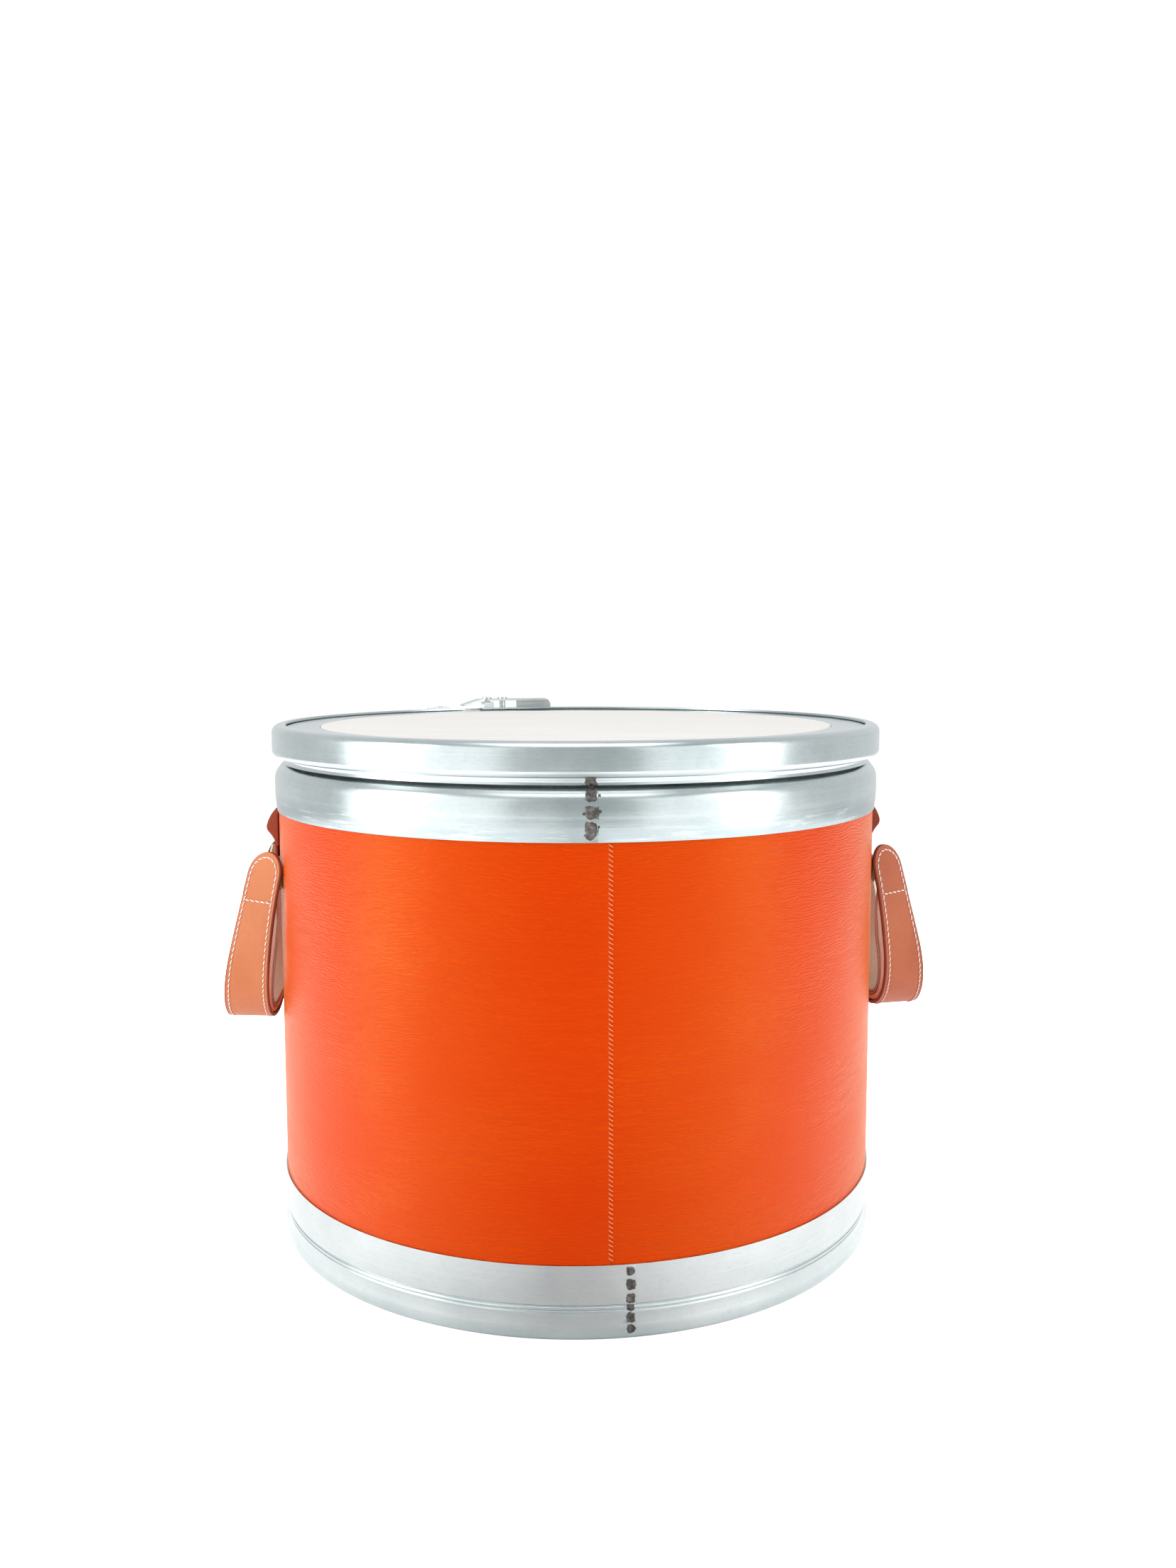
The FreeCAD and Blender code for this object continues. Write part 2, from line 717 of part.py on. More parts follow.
def make_lever_link():
    """Flat bar with an eye at each end, from the lever across the gap to the hooks."""
    body = new_body("lever_link")
    low, high = S["link_low"], S["link_high"]
    right = lock_point(S["link_angle"], LINK_PIN_OUT)
    left = lock_point(S["hook_angle"])
    half = 1.5
    bar = [
        (left[0], left[1] - half),
        (right[0], right[1] - half),
        (right[0], right[1] + half),
        (left[0], left[1] + half),
    ]
    plate(body, "bar", bar, low, high)
    eye = S["pin_radius"] + 2.2
    ends = [(right[0], right[1], eye), (left[0], left[1], eye)]
    pad(body, circles(body, "eyes", "XY_Plane", ends, low), high - low)
    holes = [
        (right[0], right[1], S["pin_radius"] + S["running_gap"]),
        (left[0], left[1], S["pin_radius"]),
    ]
    pocket(body, circles(body, "eye_holes", "XY_Plane", holes, low - 1.0), 40.0)
    turn_about_z(body, S["gap_turn"])


def make_hook_pin():
    """Cross pin in the link's far eye; its ends lie in the open hooks."""
    pin = rivet("hook_pin_body", S["hook_angle"], S["hook_low"] - 0.8, S["hook_high"] + 0.6, [])
    turn_about_z(group("hook_pin", [pin]), S["gap_turn"])


def side_turn(side):
    return S["handle_turn"] if side == "right" else S["handle_turn"] + 180.0


def make_keeper(side):
    """Fixed leather tab: it comes out under the top chime, goes round the hinge rod and ends on
    the wall. A notch in its middle makes room for the hanger."""
    body = new_body(side + "_keeper_tab")
    out, up = S["axis_out"], S["axis_up"]
    wrap = S["rod_radius"] + S["hinge_leather"]
    rim = S["high_rim"] - 0.8
    tail = tab_face - 1.9
    back = S["body_radius"] + 0.05
    corners = [
        (tail, rim - 26.0),
        (tab_face, rim - 26.0),
        (tab_face, rim - 3.8),
        (back, rim - 3.8),
        (back, up - 12.3),
        (back + 1.2, up - 12.3, -24),
        (out + wrap - 1.2, up - 2.6, 5.5),
        (out + wrap - 0.7, up + 2.6, 24),
        (S["body_radius"] + 0.9, rim),
        (tail, rim),
    ]
    pad(body, outline(body, "tab", "XZ_Plane", corners), S["keeper_half"] * 2, both_ways=True)
    notch = box_corners(back - 1.0, up - 20.0, out + 10.0, up + wrap + 0.6)
    middle = outline(body, "notch", "XZ_Plane", notch)
    pocket(body, middle, S["hanger_half"] * 2 + 0.8, both_ways=True)
    hole = circles(body, "rod_hole", "XZ_Plane", [(out, up, S["rod_radius"])])
    pocket(body, hole, S["rod_half"] * 2, both_ways=True)
    rivets = circles(body, "rivet_holes", "YZ_Plane", keeper_rivet_places(1.5), wall_inner - 10.0)
    pocket(body, rivets, 12.0)
    turn_about_z(body, side_turn(side))


def keeper_rivet_places(radius):
    """Two rivets side by side, inside the drum, behind the tab."""
    height = S["high_rim"] - 18.0
    return [(-9.0, height, radius), (9.0, height, radius)]


def make_keeper_plate(side):
    """Steel backing plate on the tab's inner end."""
    body = new_body(side + "_keeper_plate")
    face = tab_face - 1.95
    rim = S["high_rim"]
    sketch = outline(body, "plate", "YZ_Plane", box_corners(-15.0, rim - 25.0, 15.0, rim - 10.0), face - 1.2)
    pad(body, sketch, 1.2)
    holes = circles(body, "rivet_holes", "YZ_Plane", keeper_rivet_places(1.5), face - 5.0)
    pocket(body, holes, 12.0)
    turn_about_z(body, side_turn(side))


def make_keeper_rivets(side):
    """Rivets through the plate and the tab's inner end, flush in the fibre wall."""
    members = []
    face = tab_face - 3.15
    for number, (across, height, radius) in enumerate(keeper_rivet_places(1.5)):
        name = "%s_rivet_%d" % (side, number)
        shank = document.addObject("Part::Cylinder", name + "_shank")
        head = document.addObject("Part::Cylinder", name + "_head")
        for piece, start, length, size in ((shank, face - 0.5, 6.6, radius), (head, face - 0.9, 0.9, 2.8)):
            piece.Radius = size
            piece.Height = length
            piece.Placement = FreeCAD.Placement(
                Vector(start.value, across, height.value), FreeCAD.Rotation(Vector(0, 1, 0), 90)
            )
            piece.setExpression("Placement.Base.x", start.text)
            piece.setExpression("Placement.Base.z", height.text)
        joined = document.addObject("Part::Fuse", name)
        joined.Base = shank
        joined.Tool = head
        members.append(joined)
    turn_about_z(group(side + "_keeper_rivets", members), side_turn(side))


def make_hinge_rod(side):
    """Steel rod through the hanger, with both ends closed in by the tab's leather."""
    body = new_body(side + "_hinge_rod")
    out, up = S["axis_out"], S["axis_up"]
    rod = circles(body, "rod", "XZ_Plane", [(out, up, S["rod_radius"])])
    pad(body, rod, S["rod_half"] * 2, both_ways=True)
    turn_about_z(body, side_turn(side))


def make_hanger(side):
    """Leather loop on the handle: a knuckle on the rod, and a tail over the webbing."""
    body = new_body(side + "_handle_hanger")
    out, up = S["axis_out"], S["axis_up"]
    wrap = S["rod_radius"] + S["hinge_leather"]
    back = S["body_radius"] + BRIDGE_OUT + 0.05
    front = S["body_radius"] + TAIL_OUT
    corners = [
        (back, up - 33.0),
        (front, up - 33.0),
        (front, up - 9.0, -14),
        (out + wrap, up, wrap),
        (out, up + wrap, wrap),
        (out - wrap, up, 8),
        (back, up - 8.0),
    ]
    sketch = outline(body, "loop", "XZ_Plane", corners)
    pad(body, sketch, S["hanger_half"] * 2, both_ways=True)
    hole = circles(body, "rod_hole", "XZ_Plane", [(out, up, S["rod_radius"] + S["running_gap"])])
    pocket(body, hole, 60.0, both_ways=True)
    turn_about_z(body, side_turn(side))


def loop_centre(travel):
    """Middle of the face between the handle's leather and webbing, for travel from 0 to 1.

    The first part of the travel is the round bottom of the loop; the rest is an upright leg.
    """
    half, low = S["loop_half"].value, S["loop_low"].value
    turn_up = S["loop_turn_up"].value
    tip = S["axis_up"].value - TIP_DROP
    if travel <= BEND_SHARE:
        angle = travel / BEND_SHARE * math.pi / 2
        along = half * math.sin(angle)
        height = turn_up - (turn_up - low) * math.cos(angle)
    else:
        along = half
        height = turn_up + (tip - turn_up) * (travel - BEND_SHARE) / (1 - BEND_SHARE)
    rise = (height - low) / (tip - low)
    return Vector(221.4 - 20.9 * rise ** 1.44, along, height)


def loop_frame(travel):
    """Place on the handle's loop for travel from -1 to 1, one tip to the other.

    Returns the centre, the direction across the strap and the direction out of the loop.
    The strap is flat at the bottom and turns to face outward as the legs rise.
    """
    amount = abs(travel)
    step = 0.004
    centre = loop_centre(amount)
    slope = loop_centre(min(1.0, amount + step)) - loop_centre(max(0.0, amount - step))
    if amount == 0:
        slope = Vector(0, 1, 0)
    outside = slope.cross(Vector(1, 0, 0)).normalize()
    ease = amount / math.sqrt(amount * amount + 0.02)
    twist = math.radians(42.0 * amount * (2 - amount) * ease)
    across = Vector(1, 0, 0) * math.cos(twist) - outside * math.sin(twist)
    facing = Vector(1, 0, 0) * math.sin(twist) + outside * math.cos(twist)
    if travel < 0:
        centre.y, across.y, facing.y = -centre.y, -across.y, -facing.y
    return centre, across, facing


def strap_section(travel, inner, outer, back, front):
    """Rectangle across the strap, from back to front of the leather-webbing face."""
    centre, across, facing = loop_frame(travel)
    corners = [
        centre + across * inner + facing * back,
        centre + across * outer + facing * back,
        centre + across * outer + facing * front,
        centre + across * inner + facing * front,
    ]
    return Part.makePolygon(corners + corners[:1])


def loft(label, sections):
    item = document.addObject("Part::Feature", label)
    item.Shape = Part.makeLoft(sections, True, False)
    return item


def tongue_half(distance):
    """Half the strap's width at a distance from the rounded tip of its tongue."""
    half = S["strap_half"].value
    if distance >= half:
        return half
    return max(2.0, half * math.sqrt(1 - (1 - distance / half) ** 2))


def strap_travels():
    leg = [1.0, 0.985, 0.96, 0.92, 0.87, 0.80, 0.72, 0.64, 0.56, 0.49]
    bend = [BEND_SHARE * step / 6 for step in range(-6, 7)]
    return [-travel for travel in leg] + bend + leg[::-1]


def make_strap(side):
    """Leather strap: down one leg, round the bottom and up the other, with rounded ends."""
    sections = []
    leg_length = (S["axis_up"].value - TIP_DROP - S["loop_turn_up"].value) / (1 - BEND_SHARE)
    for travel in strap_travels():
        half = tongue_half((1 - abs(travel)) * leg_length)
        sections.append(strap_section(travel, -half, half, 0.0, S["strap_leather"].value))
    strap = keep(loft(side + "_handle_strap", sections), side + "_handle_strap")
    turn_about_z(strap, side_turn(side))


def webbing_depth(travel):
    """Thickness of the webbing: full in the grip, thin where it lies on the drum."""
    amount = abs(travel)
    full, thin = 7.4, 2.2
    if amount < 0.48:
        return full
    return full - (full - thin) * min(1.0, (amount - 0.48) / 0.26)


def webbing_inner(travel):
    """How far the webbing reaches towards the drum, which it clears where the legs rise."""
    amount = abs(travel)
    half = S["strap_half"].value
    if amount < 0.62:
        return half - 0.4
    return half - 0.4 - 7.0 * (amount - 0.62) / 0.32


def make_webbing(side):
    """Webbing loop behind the leather, with a flat bridge along the drum under the hanger."""
    sections = []
    outer = S["strap_half"].value - 0.5
    for travel in strap_travels()[2:-2]:
        sections.append(
            strap_section(travel, -webbing_inner(travel), outer, -webbing_depth(travel), -0.1)
        )
    legs = loft(side + "_webbing_legs", sections)
    wall = S["body_radius"].value
    low, tall, span = S["bridge_low"].value, 16.0, S["bridge_span"].value
    bridge = Part.makeCylinder(wall + BRIDGE_OUT, tall, Vector(0, 0, low), Vector(0, 0, 1), span * 2)
    bore = Part.makeCylinder(wall + 0.6, tall, Vector(0, 0, low))
    band = bridge.cut(bore)
    band.rotate(Vector(), Vector(0, 0, 1), -span)
    item = document.addObject("Part::Feature", side + "_handle_webbing")
    item.Shape = legs.Shape.fuse(band)
    document.removeObject(legs.Name)
    turn_about_z(keep(item, side + "_handle_webbing"), side_turn(side))


def make_thread(side):
    """Saddle stitching along both edges of the strap, each row as a raised line in two halves."""
    half = S["strap_half"].value - 3.4
    face = S["strap_leather"].value
    travels = strap_travels()[3:-3]
    middle = len(travels) // 2
    lines = []
    for edge in (-half, half):
        for part in (travels[:middle + 1], travels[middle:]):
            sections = [
                strap_section(travel, edge - 0.4, edge + 0.4, face + 0.08, face + 0.5)
                for travel in part
            ]
            lines.append(loft("%s_thread_line_%d" % (side, len(lines)), sections))
    turn_about_z(group(side + "_handle_thread", lines), side_turn(side))


def make_drum():
    make_fibre_shell()
    make_leather_wrap()
    make_seam_thread()
    make_top_chime()
    make_bottom_chime()
    make_bottom_board()
    skirt = chime_bore + S["steel"]
    rim = S["high_rim"]
    make_welds("top_chime_welds", 2.2, [
        (skirt + 0.86, rim + 6.6, 2.4, -5.0),
        (skirt + 1.2, rim + 15.8, 2.4, 1.0),
        (skirt + 0.05, rim + 25.2, 2.2, 27.0),
        (skirt - 4.9, rim + 32.2, 1.3, 0.0),
    ])
    low = S["low_rim"]
    make_welds("bottom_chime_welds", 9.0, [
        (skirt + 0.02, low - 4.6, 2.4, 0.0),
        (skirt + 0.02, low - 12.2, 2.4, 0.0),
        (skirt - 0.2, low - 30.2, 1.4, -5.0),
    ])


def make_lid():
    make_lid_pan()
    make_lid_gasket()
    make_lid_wood_disc()
    make_lid_screws()


def make_lock():
    make_closing_ring()
    make_lever_bracket()
    make_hook_bracket()
    make_pivot_rivets()
    make_lever()
    make_link_pin()
    make_lever_link()
    make_hook_pin()


def make_handle(side):
    make_keeper(side)
    make_keeper_plate(side)
    make_keeper_rivets(side)
    make_hinge_rod(side)
    make_hanger(side)
    make_strap(side)
    make_webbing(side)
    make_thread(side)


def check_and_write():
    """Stop on any failed object; then write each sub-part to its own file."""
    document.recompute()
    for item in document.Objects:
        if "Invalid" in item.State or "Error" in item.State:
            raise RuntimeError("%s failed: %s" % (item.Name, item.State))
    os.makedirs("parts", exist_ok=True)
    for item in subparts:
        shape = item.Shape
        if shape.isNull() or not shape.isValid():
            raise RuntimeError(item.Label + " has no valid shape")
        box = shape.BoundBox
        print("%-24s solids %d volume %.0f box %.1f %.1f %.1f to %.1f %.1f %.1f" % (
            item.Label, len(shape.Solids), shape.Volume,
            box.XMin, box.YMin, box.ZMin, box.XMax, box.YMax, box.ZMax))
        shape.exportStep("parts/%s.step" % item.Label)


make_drum()
make_lid()
make_lock()
for side in ("right", "left"):
    make_handle(side)
check_and_write()
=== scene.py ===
import bisect
import math
import bmesh
import bpy
from mathutils import Matrix, Vector, noise
from mathutils.bvhtree import BVHTree


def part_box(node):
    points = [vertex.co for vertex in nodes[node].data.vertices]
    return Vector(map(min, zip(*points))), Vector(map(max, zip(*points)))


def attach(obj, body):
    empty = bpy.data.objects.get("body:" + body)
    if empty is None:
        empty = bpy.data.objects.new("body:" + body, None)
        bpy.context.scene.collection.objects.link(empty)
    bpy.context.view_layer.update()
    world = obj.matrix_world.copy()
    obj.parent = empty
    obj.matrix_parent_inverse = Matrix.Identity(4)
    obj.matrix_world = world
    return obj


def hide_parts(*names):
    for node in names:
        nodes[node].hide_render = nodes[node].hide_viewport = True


for name in ("Cube", "Light", "Camera"):
    if name in bpy.data.objects:
        bpy.data.objects.remove(bpy.data.objects[name])

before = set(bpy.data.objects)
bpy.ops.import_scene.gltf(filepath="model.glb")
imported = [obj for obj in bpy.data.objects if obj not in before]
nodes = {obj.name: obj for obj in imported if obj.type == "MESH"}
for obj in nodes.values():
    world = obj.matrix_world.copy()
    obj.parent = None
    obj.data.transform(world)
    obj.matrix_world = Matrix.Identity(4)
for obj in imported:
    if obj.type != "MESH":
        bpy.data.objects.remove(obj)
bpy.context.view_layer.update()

MM = 0.001


def box_mm(node):
    """A CAD node's lowest and highest corners, in millimetres."""
    return [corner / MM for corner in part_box(node)]


# Sizes in millimetres that the frame gives.
skin_low, skin_high = box_mm("leather_wrap")
rod_low, rod_high = box_mm("right_hinge_rod")
BODY_RADIUS = round(skin_high.x, 1)
HIGH_RIM = box_mm("top_chime")[0].z
LOW_RIM = box_mm("bottom_chime")[1].z
BEAD_TOP = round(box_mm("top_chime")[1].z, 1)
RING_LOW, RING_TOP = (round(corner.z, 1) for corner in box_mm("closing_ring"))
ROD_RADIUS = round((rod_high.z - rod_low.z) / 2, 1)
AXIS_UP = round((rod_high.z + rod_low.z) / 2, 1)
AXIS_OUT = round(((rod_high + rod_low) / 2).xy.length, 1)

# Sheets and hides. An angle is in degrees from the drum's front, towards +X.
LEATHER = 2.0
FIBRE = 4.0
STEEL = 0.8
SKIRT = BODY_RADIUS + 0.05 + STEEL
WALL_INNER = BODY_RADIUS - LEATHER - FIBRE
SEAM_ANGLE = 5.4

# Handles. A side's own x axis points out of the drum, and is turned from the world's by these degrees.
SIDE_TURN = {"right": 3.6, "left": 183.6}
HINGE_LEATHER = 1.9
ROD_HALF = 18.0
KEEPER_HALF = 19.4
HANGER_HALF = 9.0
STRAP_HALF = 15.8
STRAP_LEATHER = 2.4
STITCH_INSET = 3.4
STITCH_PITCH = 4.3
BEND_SHARE = 0.42


# ---- materials


def add_node(tree, kind, inputs=(), **settings):
    """Adds a shader node and gives its outputs. An input is a value, or a node's output to link."""
    node = tree.nodes.new("ShaderNode" + kind)
    for key, value in settings.items():
        setattr(node, key, value)
    for key, value in dict(inputs).items():
        if isinstance(value, bpy.types.NodeSocket):
            tree.links.new(value, node.inputs[key])
        else:
            node.inputs[key].default_value = value
    return node.outputs


def add_ramp(tree, value, stops):
    """Adds a colour ramp, with its stops as pairs of position and colour."""
    stops = list(stops)
    node = tree.nodes.new("ShaderNodeValToRGB")
    tree.links.new(value, node.inputs["Fac"])
    ends = node.color_ramp.elements
    while len(ends) < len(stops):
        ends.new(0.5)
    for end, (position, colour) in zip(ends, stops):
        end.position = position
        end.color = (*colour, 1.0)
    return node.outputs["Color"]


MATERIALS = {}


class Finish:
    """A procedural material: short calls that add nodes and join them."""

    def __init__(self, name, roughness=0.5, metallic=0.0, specular=0.5, sheen=0.0):
        self.material = bpy.data.materials.new(name)
        self.material.use_nodes = True
        MATERIALS[name] = self.material
        self.tree = self.material.node_tree
        self.shader = self.tree.nodes["Principled BSDF"]
        values = {"Roughness": roughness, "Metallic": metallic, "Specular IOR Level": specular}
        values.update({"Sheen Weight": sheen, "Sheen Roughness": 0.4})
        for key, value in values.items():
            self.shader.inputs[key].default_value = value

    def add(self, kind, inputs=(), **settings):
        return add_node(self.tree, kind, inputs, **settings)

    def place(self):
        return self.add("TexCoord")["Object"]

    def maths(self, operation, first, second=0.0):
        return self.add("Math", {0: first, 1: second}, operation=operation)[0]

    def noise(self, scale, detail=3.0, rough=0.55, distortion=0.0, on=None):
        """Noise at one scale, or at a scale for each direction, in space or on the drum's wall."""
        vector = on or self.place()
        if isinstance(scale, tuple):
            vector, scale = self.add("Mapping", {"Vector": vector, "Scale": scale})[0], 1.0
        values = {"Vector": vector, "Scale": scale, "Detail": detail, "Roughness": rough}
        values["Distortion"] = distortion
        return self.add("TexNoise", values)["Fac"]

    def ramp(self, value, stops):
        return add_ramp(self.tree, value, stops)

    def grey(self, value, low, high, from_low=0.0, from_high=1.0):
        """A number that goes from low to high as value goes from from_low to from_high."""
        values = {"Value": value, "From Min": from_low, "From Max": from_high}
        values.update({"To Min": low, "To Max": high})
        return self.add("MapRange", values)[0]

    def mix(self, amount, first, second):
        """A colour between two: each is a socket or a plain colour."""
        first, second = ((*each, 1.0) if isinstance(each, tuple) else each for each in (first, second))
        return self.add("Mix", {0: amount, 6: first, 7: second}, data_type="RGBA")[2]

    def colour(self, socket):
        self.tree.links.new(socket, self.shader.inputs["Base Color"])

    def rough(self, socket):
        self.tree.links.new(socket, self.shader.inputs["Roughness"])

    def bump(self, height, distance, strength=1.0, under=None):
        values = {"Height": height, "Distance": distance, "Strength": strength}
        if under is not None:
            values["Normal"] = under
        normal = self.add("Bump", values)[0]
        self.tree.links.new(normal, self.shader.inputs["Normal"])
        return normal

    def wall(self, start_angle):
        """Coordinates on the drum's wall in metres, round it and up it, and the height by itself.
        The one round it starts at start_angle from the front, towards +X."""
        height = self.add("SeparateXYZ", {0: self.place()})[2]
        values = {"Vector": self.place(), "Angle": math.radians(-start_angle)}
        turned = self.add("VectorRotate", values, rotation_type="Z_AXIS")[0]
        flat = self.add("SeparateXYZ", {0: turned})
        angle = self.maths("ARCTAN2", flat[0], flat[1])
        length = self.maths("MULTIPLY", angle, BODY_RADIUS * MM)
        return self.add("CombineXYZ", {0: length, 1: height})[0], height


def orange_leather():
    """Coated leather with a fine wavy grain that runs round the drum."""
    f = Finish("orange_leather", roughness=0.4, specular=0.5, sheen=0.30)
    f.shader.inputs["Specular Tint"].default_value = (1.0, 0.80, 0.06, 1.0)
    f.shader.inputs["Sheen Tint"].default_value = (1.0, 0.60, 0.08, 1.0)
    wall, height = f.wall(SEAM_ANGLE)
    wave_pitch = 0.0018
    drift = f.noise((55.0, 190.0, 1.0), detail=2.0, on=wall)
    ripple = f.noise((150.0, 700.0, 1.0), detail=2.0, distortion=0.6, on=wall)
    level = f.maths("MULTIPLY", height, 2 * math.pi / wave_pitch)
    turns = f.maths("ADD", level, f.maths("MULTIPLY", drift, 26.0))
    wave = f.maths("SINE", f.maths("ADD", turns, f.maths("MULTIPLY", ripple, 5.0)))
    pores = f.noise((420.0, 1300.0, 1.0), detail=2.0, on=wall)
    broad = f.noise(5.0, detail=4.0)
    blotch = f.noise((9.0, 15.0, 1.0), detail=4.0, on=wall)
    small = f.maths("ADD", ripple, f.maths("MULTIPLY", pores, 0.5))
    depth = f.maths("ADD", f.maths("MULTIPLY", wave, 0.5), small)
    base = f.ramp(broad, [(0.3, (0.575, 0.0170, 0.0001)), (0.7, (0.625, 0.0230, 0.0002))])
    toned = f.mix(f.grey(blotch, 0.0, 0.35, 0.40, 0.75), base, (0.69, 0.052, 0.0008))
    # The grain's low parts are mixed towards a darker orange: painted shade in the grain's creases.
    f.colour(f.mix(f.grey(depth, 0.22, 0.0, 0.2, 0.9), toned, (0.43, 0.0135, 0.0003)))
    f.rough(f.grey(blotch, 0.44, 0.33, 0.3, 0.7))
    f.bump(depth, 0.00016, f.grey(blotch, 0.45, 1.0, 0.35, 0.60))


def galvanised_steel(name, scuffed):
    """Zinc-coated sheet: soft haze, a fine spangle, and rubbed patches."""
    f = Finish(name, metallic=1.0, roughness=0.25)
    wall, height = f.wall(180.0)
    haze = f.noise(14.0, detail=5.0, rough=0.6)
    grains = f.noise((260.0, 700.0, 1.0), detail=4.0, rough=0.65, on=wall)
    dust = f.noise(900.0, detail=2.0)
    drawn = f.noise((9.0, 420.0, 1.0), detail=4.0, rough=0.6, on=wall)
    base = f.ramp(haze, [(0.3, (0.52, 0.585, 0.590)), (0.72, (0.65, 0.70, 0.705))])
    speckled = f.mix(f.grey(grains, 0.0, 0.30, 0.5, 0.8), base, (0.36, 0.42, 0.43))
    lined = f.mix(f.grey(drawn, 0.0, 0.28, 0.5, 0.8), speckled, (0.74, 0.77, 0.77))
    rough = f.grey(haze, 0.19, 0.29, 0.3, 0.7)
    if scuffed:
        low = HIGH_RIM * MM
        near_rim = f.grey(height, 1.0, 0.0, low + 0.004, low + 0.014)
        patches = f.noise((26.0, 320.0, 1.0), detail=5.0, rough=0.7, on=wall)
        rubbed = f.maths("MULTIPLY", near_rim, f.grey(patches, 0.0, 1.0, 0.52, 0.66))
        # The sheet is mixed darker towards the rim.
        darker_near_rim = f.mix(f.maths("MULTIPLY", near_rim, 0.7), lined, (0.31, 0.37, 0.385))
        lined = f.mix(f.maths("MULTIPLY", rubbed, 0.6), darker_near_rim, (0.78, 0.82, 0.82))
        rough = f.maths("ADD", rough, f.maths("MULTIPLY", rubbed, 0.14))
    f.colour(lined)
    f.rough(rough)
    fine = f.bump(dust, 0.00002, 0.25)
    f.bump(drawn, 0.00006, 0.5, under=fine)


def bright_steel():
    """Plated pressings of the lock, with light brush marks."""
    f = Finish("bright_steel", metallic=1.0, roughness=0.25)
    brushed = f.noise((120.0, 120.0, 1400.0), detail=3.0)
    cloud = f.noise(40.0, detail=4.0)
    f.colour(f.ramp(cloud, [(0.3, (0.58, 0.61, 0.615)), (0.7, (0.70, 0.725, 0.73))]))
    f.rough(f.grey(brushed, 0.30, 0.44, 0.3, 0.7))
    f.bump(brushed, 0.00003, 0.5)


def weld_metal():
    """Spot weld metal: burnt, pitted and brown-grey."""
    f = Finish("weld_metal", metallic=0.7, roughness=0.5)
    pits = f.noise(900.0, detail=4.0, rough=0.7)
    burn = f.noise(330.0, detail=3.0)
    burnt, brown, grey = (0.045, 0.040, 0.037), (0.125, 0.115, 0.107), (0.24, 0.225, 0.21)
    f.colour(f.ramp(burn, [(0.32, burnt), (0.55, brown), (0.72, grey)]))
    f.rough(f.grey(pits, 0.36, 0.62, 0.3, 0.7))
    f.bump(pits, 0.00025, 0.8)


def pale_wood():
    """Pale sanded wood with a faint straight grain."""
    f = Finish("pale_wood", roughness=0.5, specular=0.35)
    rings = f.noise((7.0, 190.0, 190.0), detail=5.0, rough=0.6, distortion=0.25)
    pores = f.noise((60.0, 1900.0, 1900.0), detail=3.0)
    base = f.ramp(rings, [(0.3, (0.76, 0.71, 0.66)), (0.5, (0.82, 0.785, 0.75)), (0.7, (0.86, 0.84, 0.81))])
    f.colour(f.mix(f.grey(pores, 0.0, 0.35, 0.52, 0.72), base, (0.66, 0.58, 0.50)))
    f.rough(f.grey(rings, 0.44, 0.56, 0.3, 0.7))
    f.bump(pores, 0.00005, 0.5)


def hide(name, colours, roughness=0.5, grain=0.00008):
    """Natural leather: soft colour clouds, small pores and a waxed gloss."""
    darker = (0.20, 0.045, 0.02)
    f = Finish(name, roughness=roughness, specular=0.35, sheen=0.03)
    f.shader.inputs["Specular Tint"].default_value = (1.0, 0.72, 0.50, 1.0)
    clouds = f.noise(26.0, detail=4.0)
    pores = f.add("TexVoronoi", {"Vector": f.place(), "Scale": 1300.0})["Distance"]
    fibres = f.noise(420.0, detail=4.0, rough=0.6)
    base = f.ramp(clouds, zip((0.28, 0.5, 0.72), colours))
    f.colour(f.mix(f.grey(fibres, 0.0, 0.10, 0.55, 0.8), base, darker))
    f.rough(f.grey(fibres, roughness - 0.07, roughness + 0.09, 0.3, 0.7))
    fine = f.bump(pores, grain, 0.35)
    f.bump(fibres, grain, 0.5, under=fine)


def webbing(name, pale, dark, herringbone):
    """Woven cotton tape. Its pattern runs on the piece's own map of millimetres across and along."""
    f = Finish(name, roughness=0.85, specular=0.2, sheen=0.3)
    flat = f.add("UVMap", uv_map="weave")[0]
    across, along = f.add("SeparateXYZ", {0: flat})[:2]
    rib_width, pick_pitch = 4.2, 0.55
    yarn_pitch = 1.25 if herringbone else 0.9
    folded = f.maths("PINGPONG", across, rib_width) if herringbone else across
    slant = f.maths("ADD", along, f.maths("MULTIPLY", folded, 1.25))
    yarns = f.maths("SINE", f.maths("MULTIPLY", slant, 2 * math.pi / yarn_pitch))
    picks = f.maths("SINE", f.maths("MULTIPLY", across, 2 * math.pi / pick_pitch))
    fuzz = f.noise(900.0, detail=3.0)
    weave = f.maths("ADD", yarns, f.maths("MULTIPLY", picks, 0.25))
    shade = f.grey(f.maths("ADD", weave, f.maths("MULTIPLY", fuzz, 1.2)), 0.0, 1.0, -0.5, 1.5)
    f.colour(f.mix(shade, dark, pale))
    f.bump(weave, 0.00012, 0.6)


def twisted_thread(name, pale, dark):
    """Waxed thread, with the twist of its plies."""
    f = Finish(name, roughness=0.55, specular=0.3, sheen=0.2)
    values = {"Vector": f.place(), "Scale": 700.0, "Distortion": 2.0}
    twist = f.add("TexWave", values)["Fac"]
    fuzz = f.noise(1500.0, detail=2.0)
    f.colour(f.mix(f.grey(f.maths("MULTIPLY", twist, fuzz), 0.0, 1.0, 0.05, 0.5), dark, pale))
    f.bump(twist, 0.00006, 0.5)


def rubber():
    """Black sealing rubber with a dusty bloom."""
    f = Finish("gasket_rubber", roughness=0.7, specular=0.3)
    bloom = f.noise(60.0, detail=4.0)
    f.colour(f.ramp(bloom, [(0.3, (0.012, 0.012, 0.013)), (0.7, (0.045, 0.045, 0.046))]))
    f.rough(f.grey(bloom, 0.62, 0.82, 0.3, 0.7))
    f.bump(f.noise(700.0), 0.00004, 0.5)


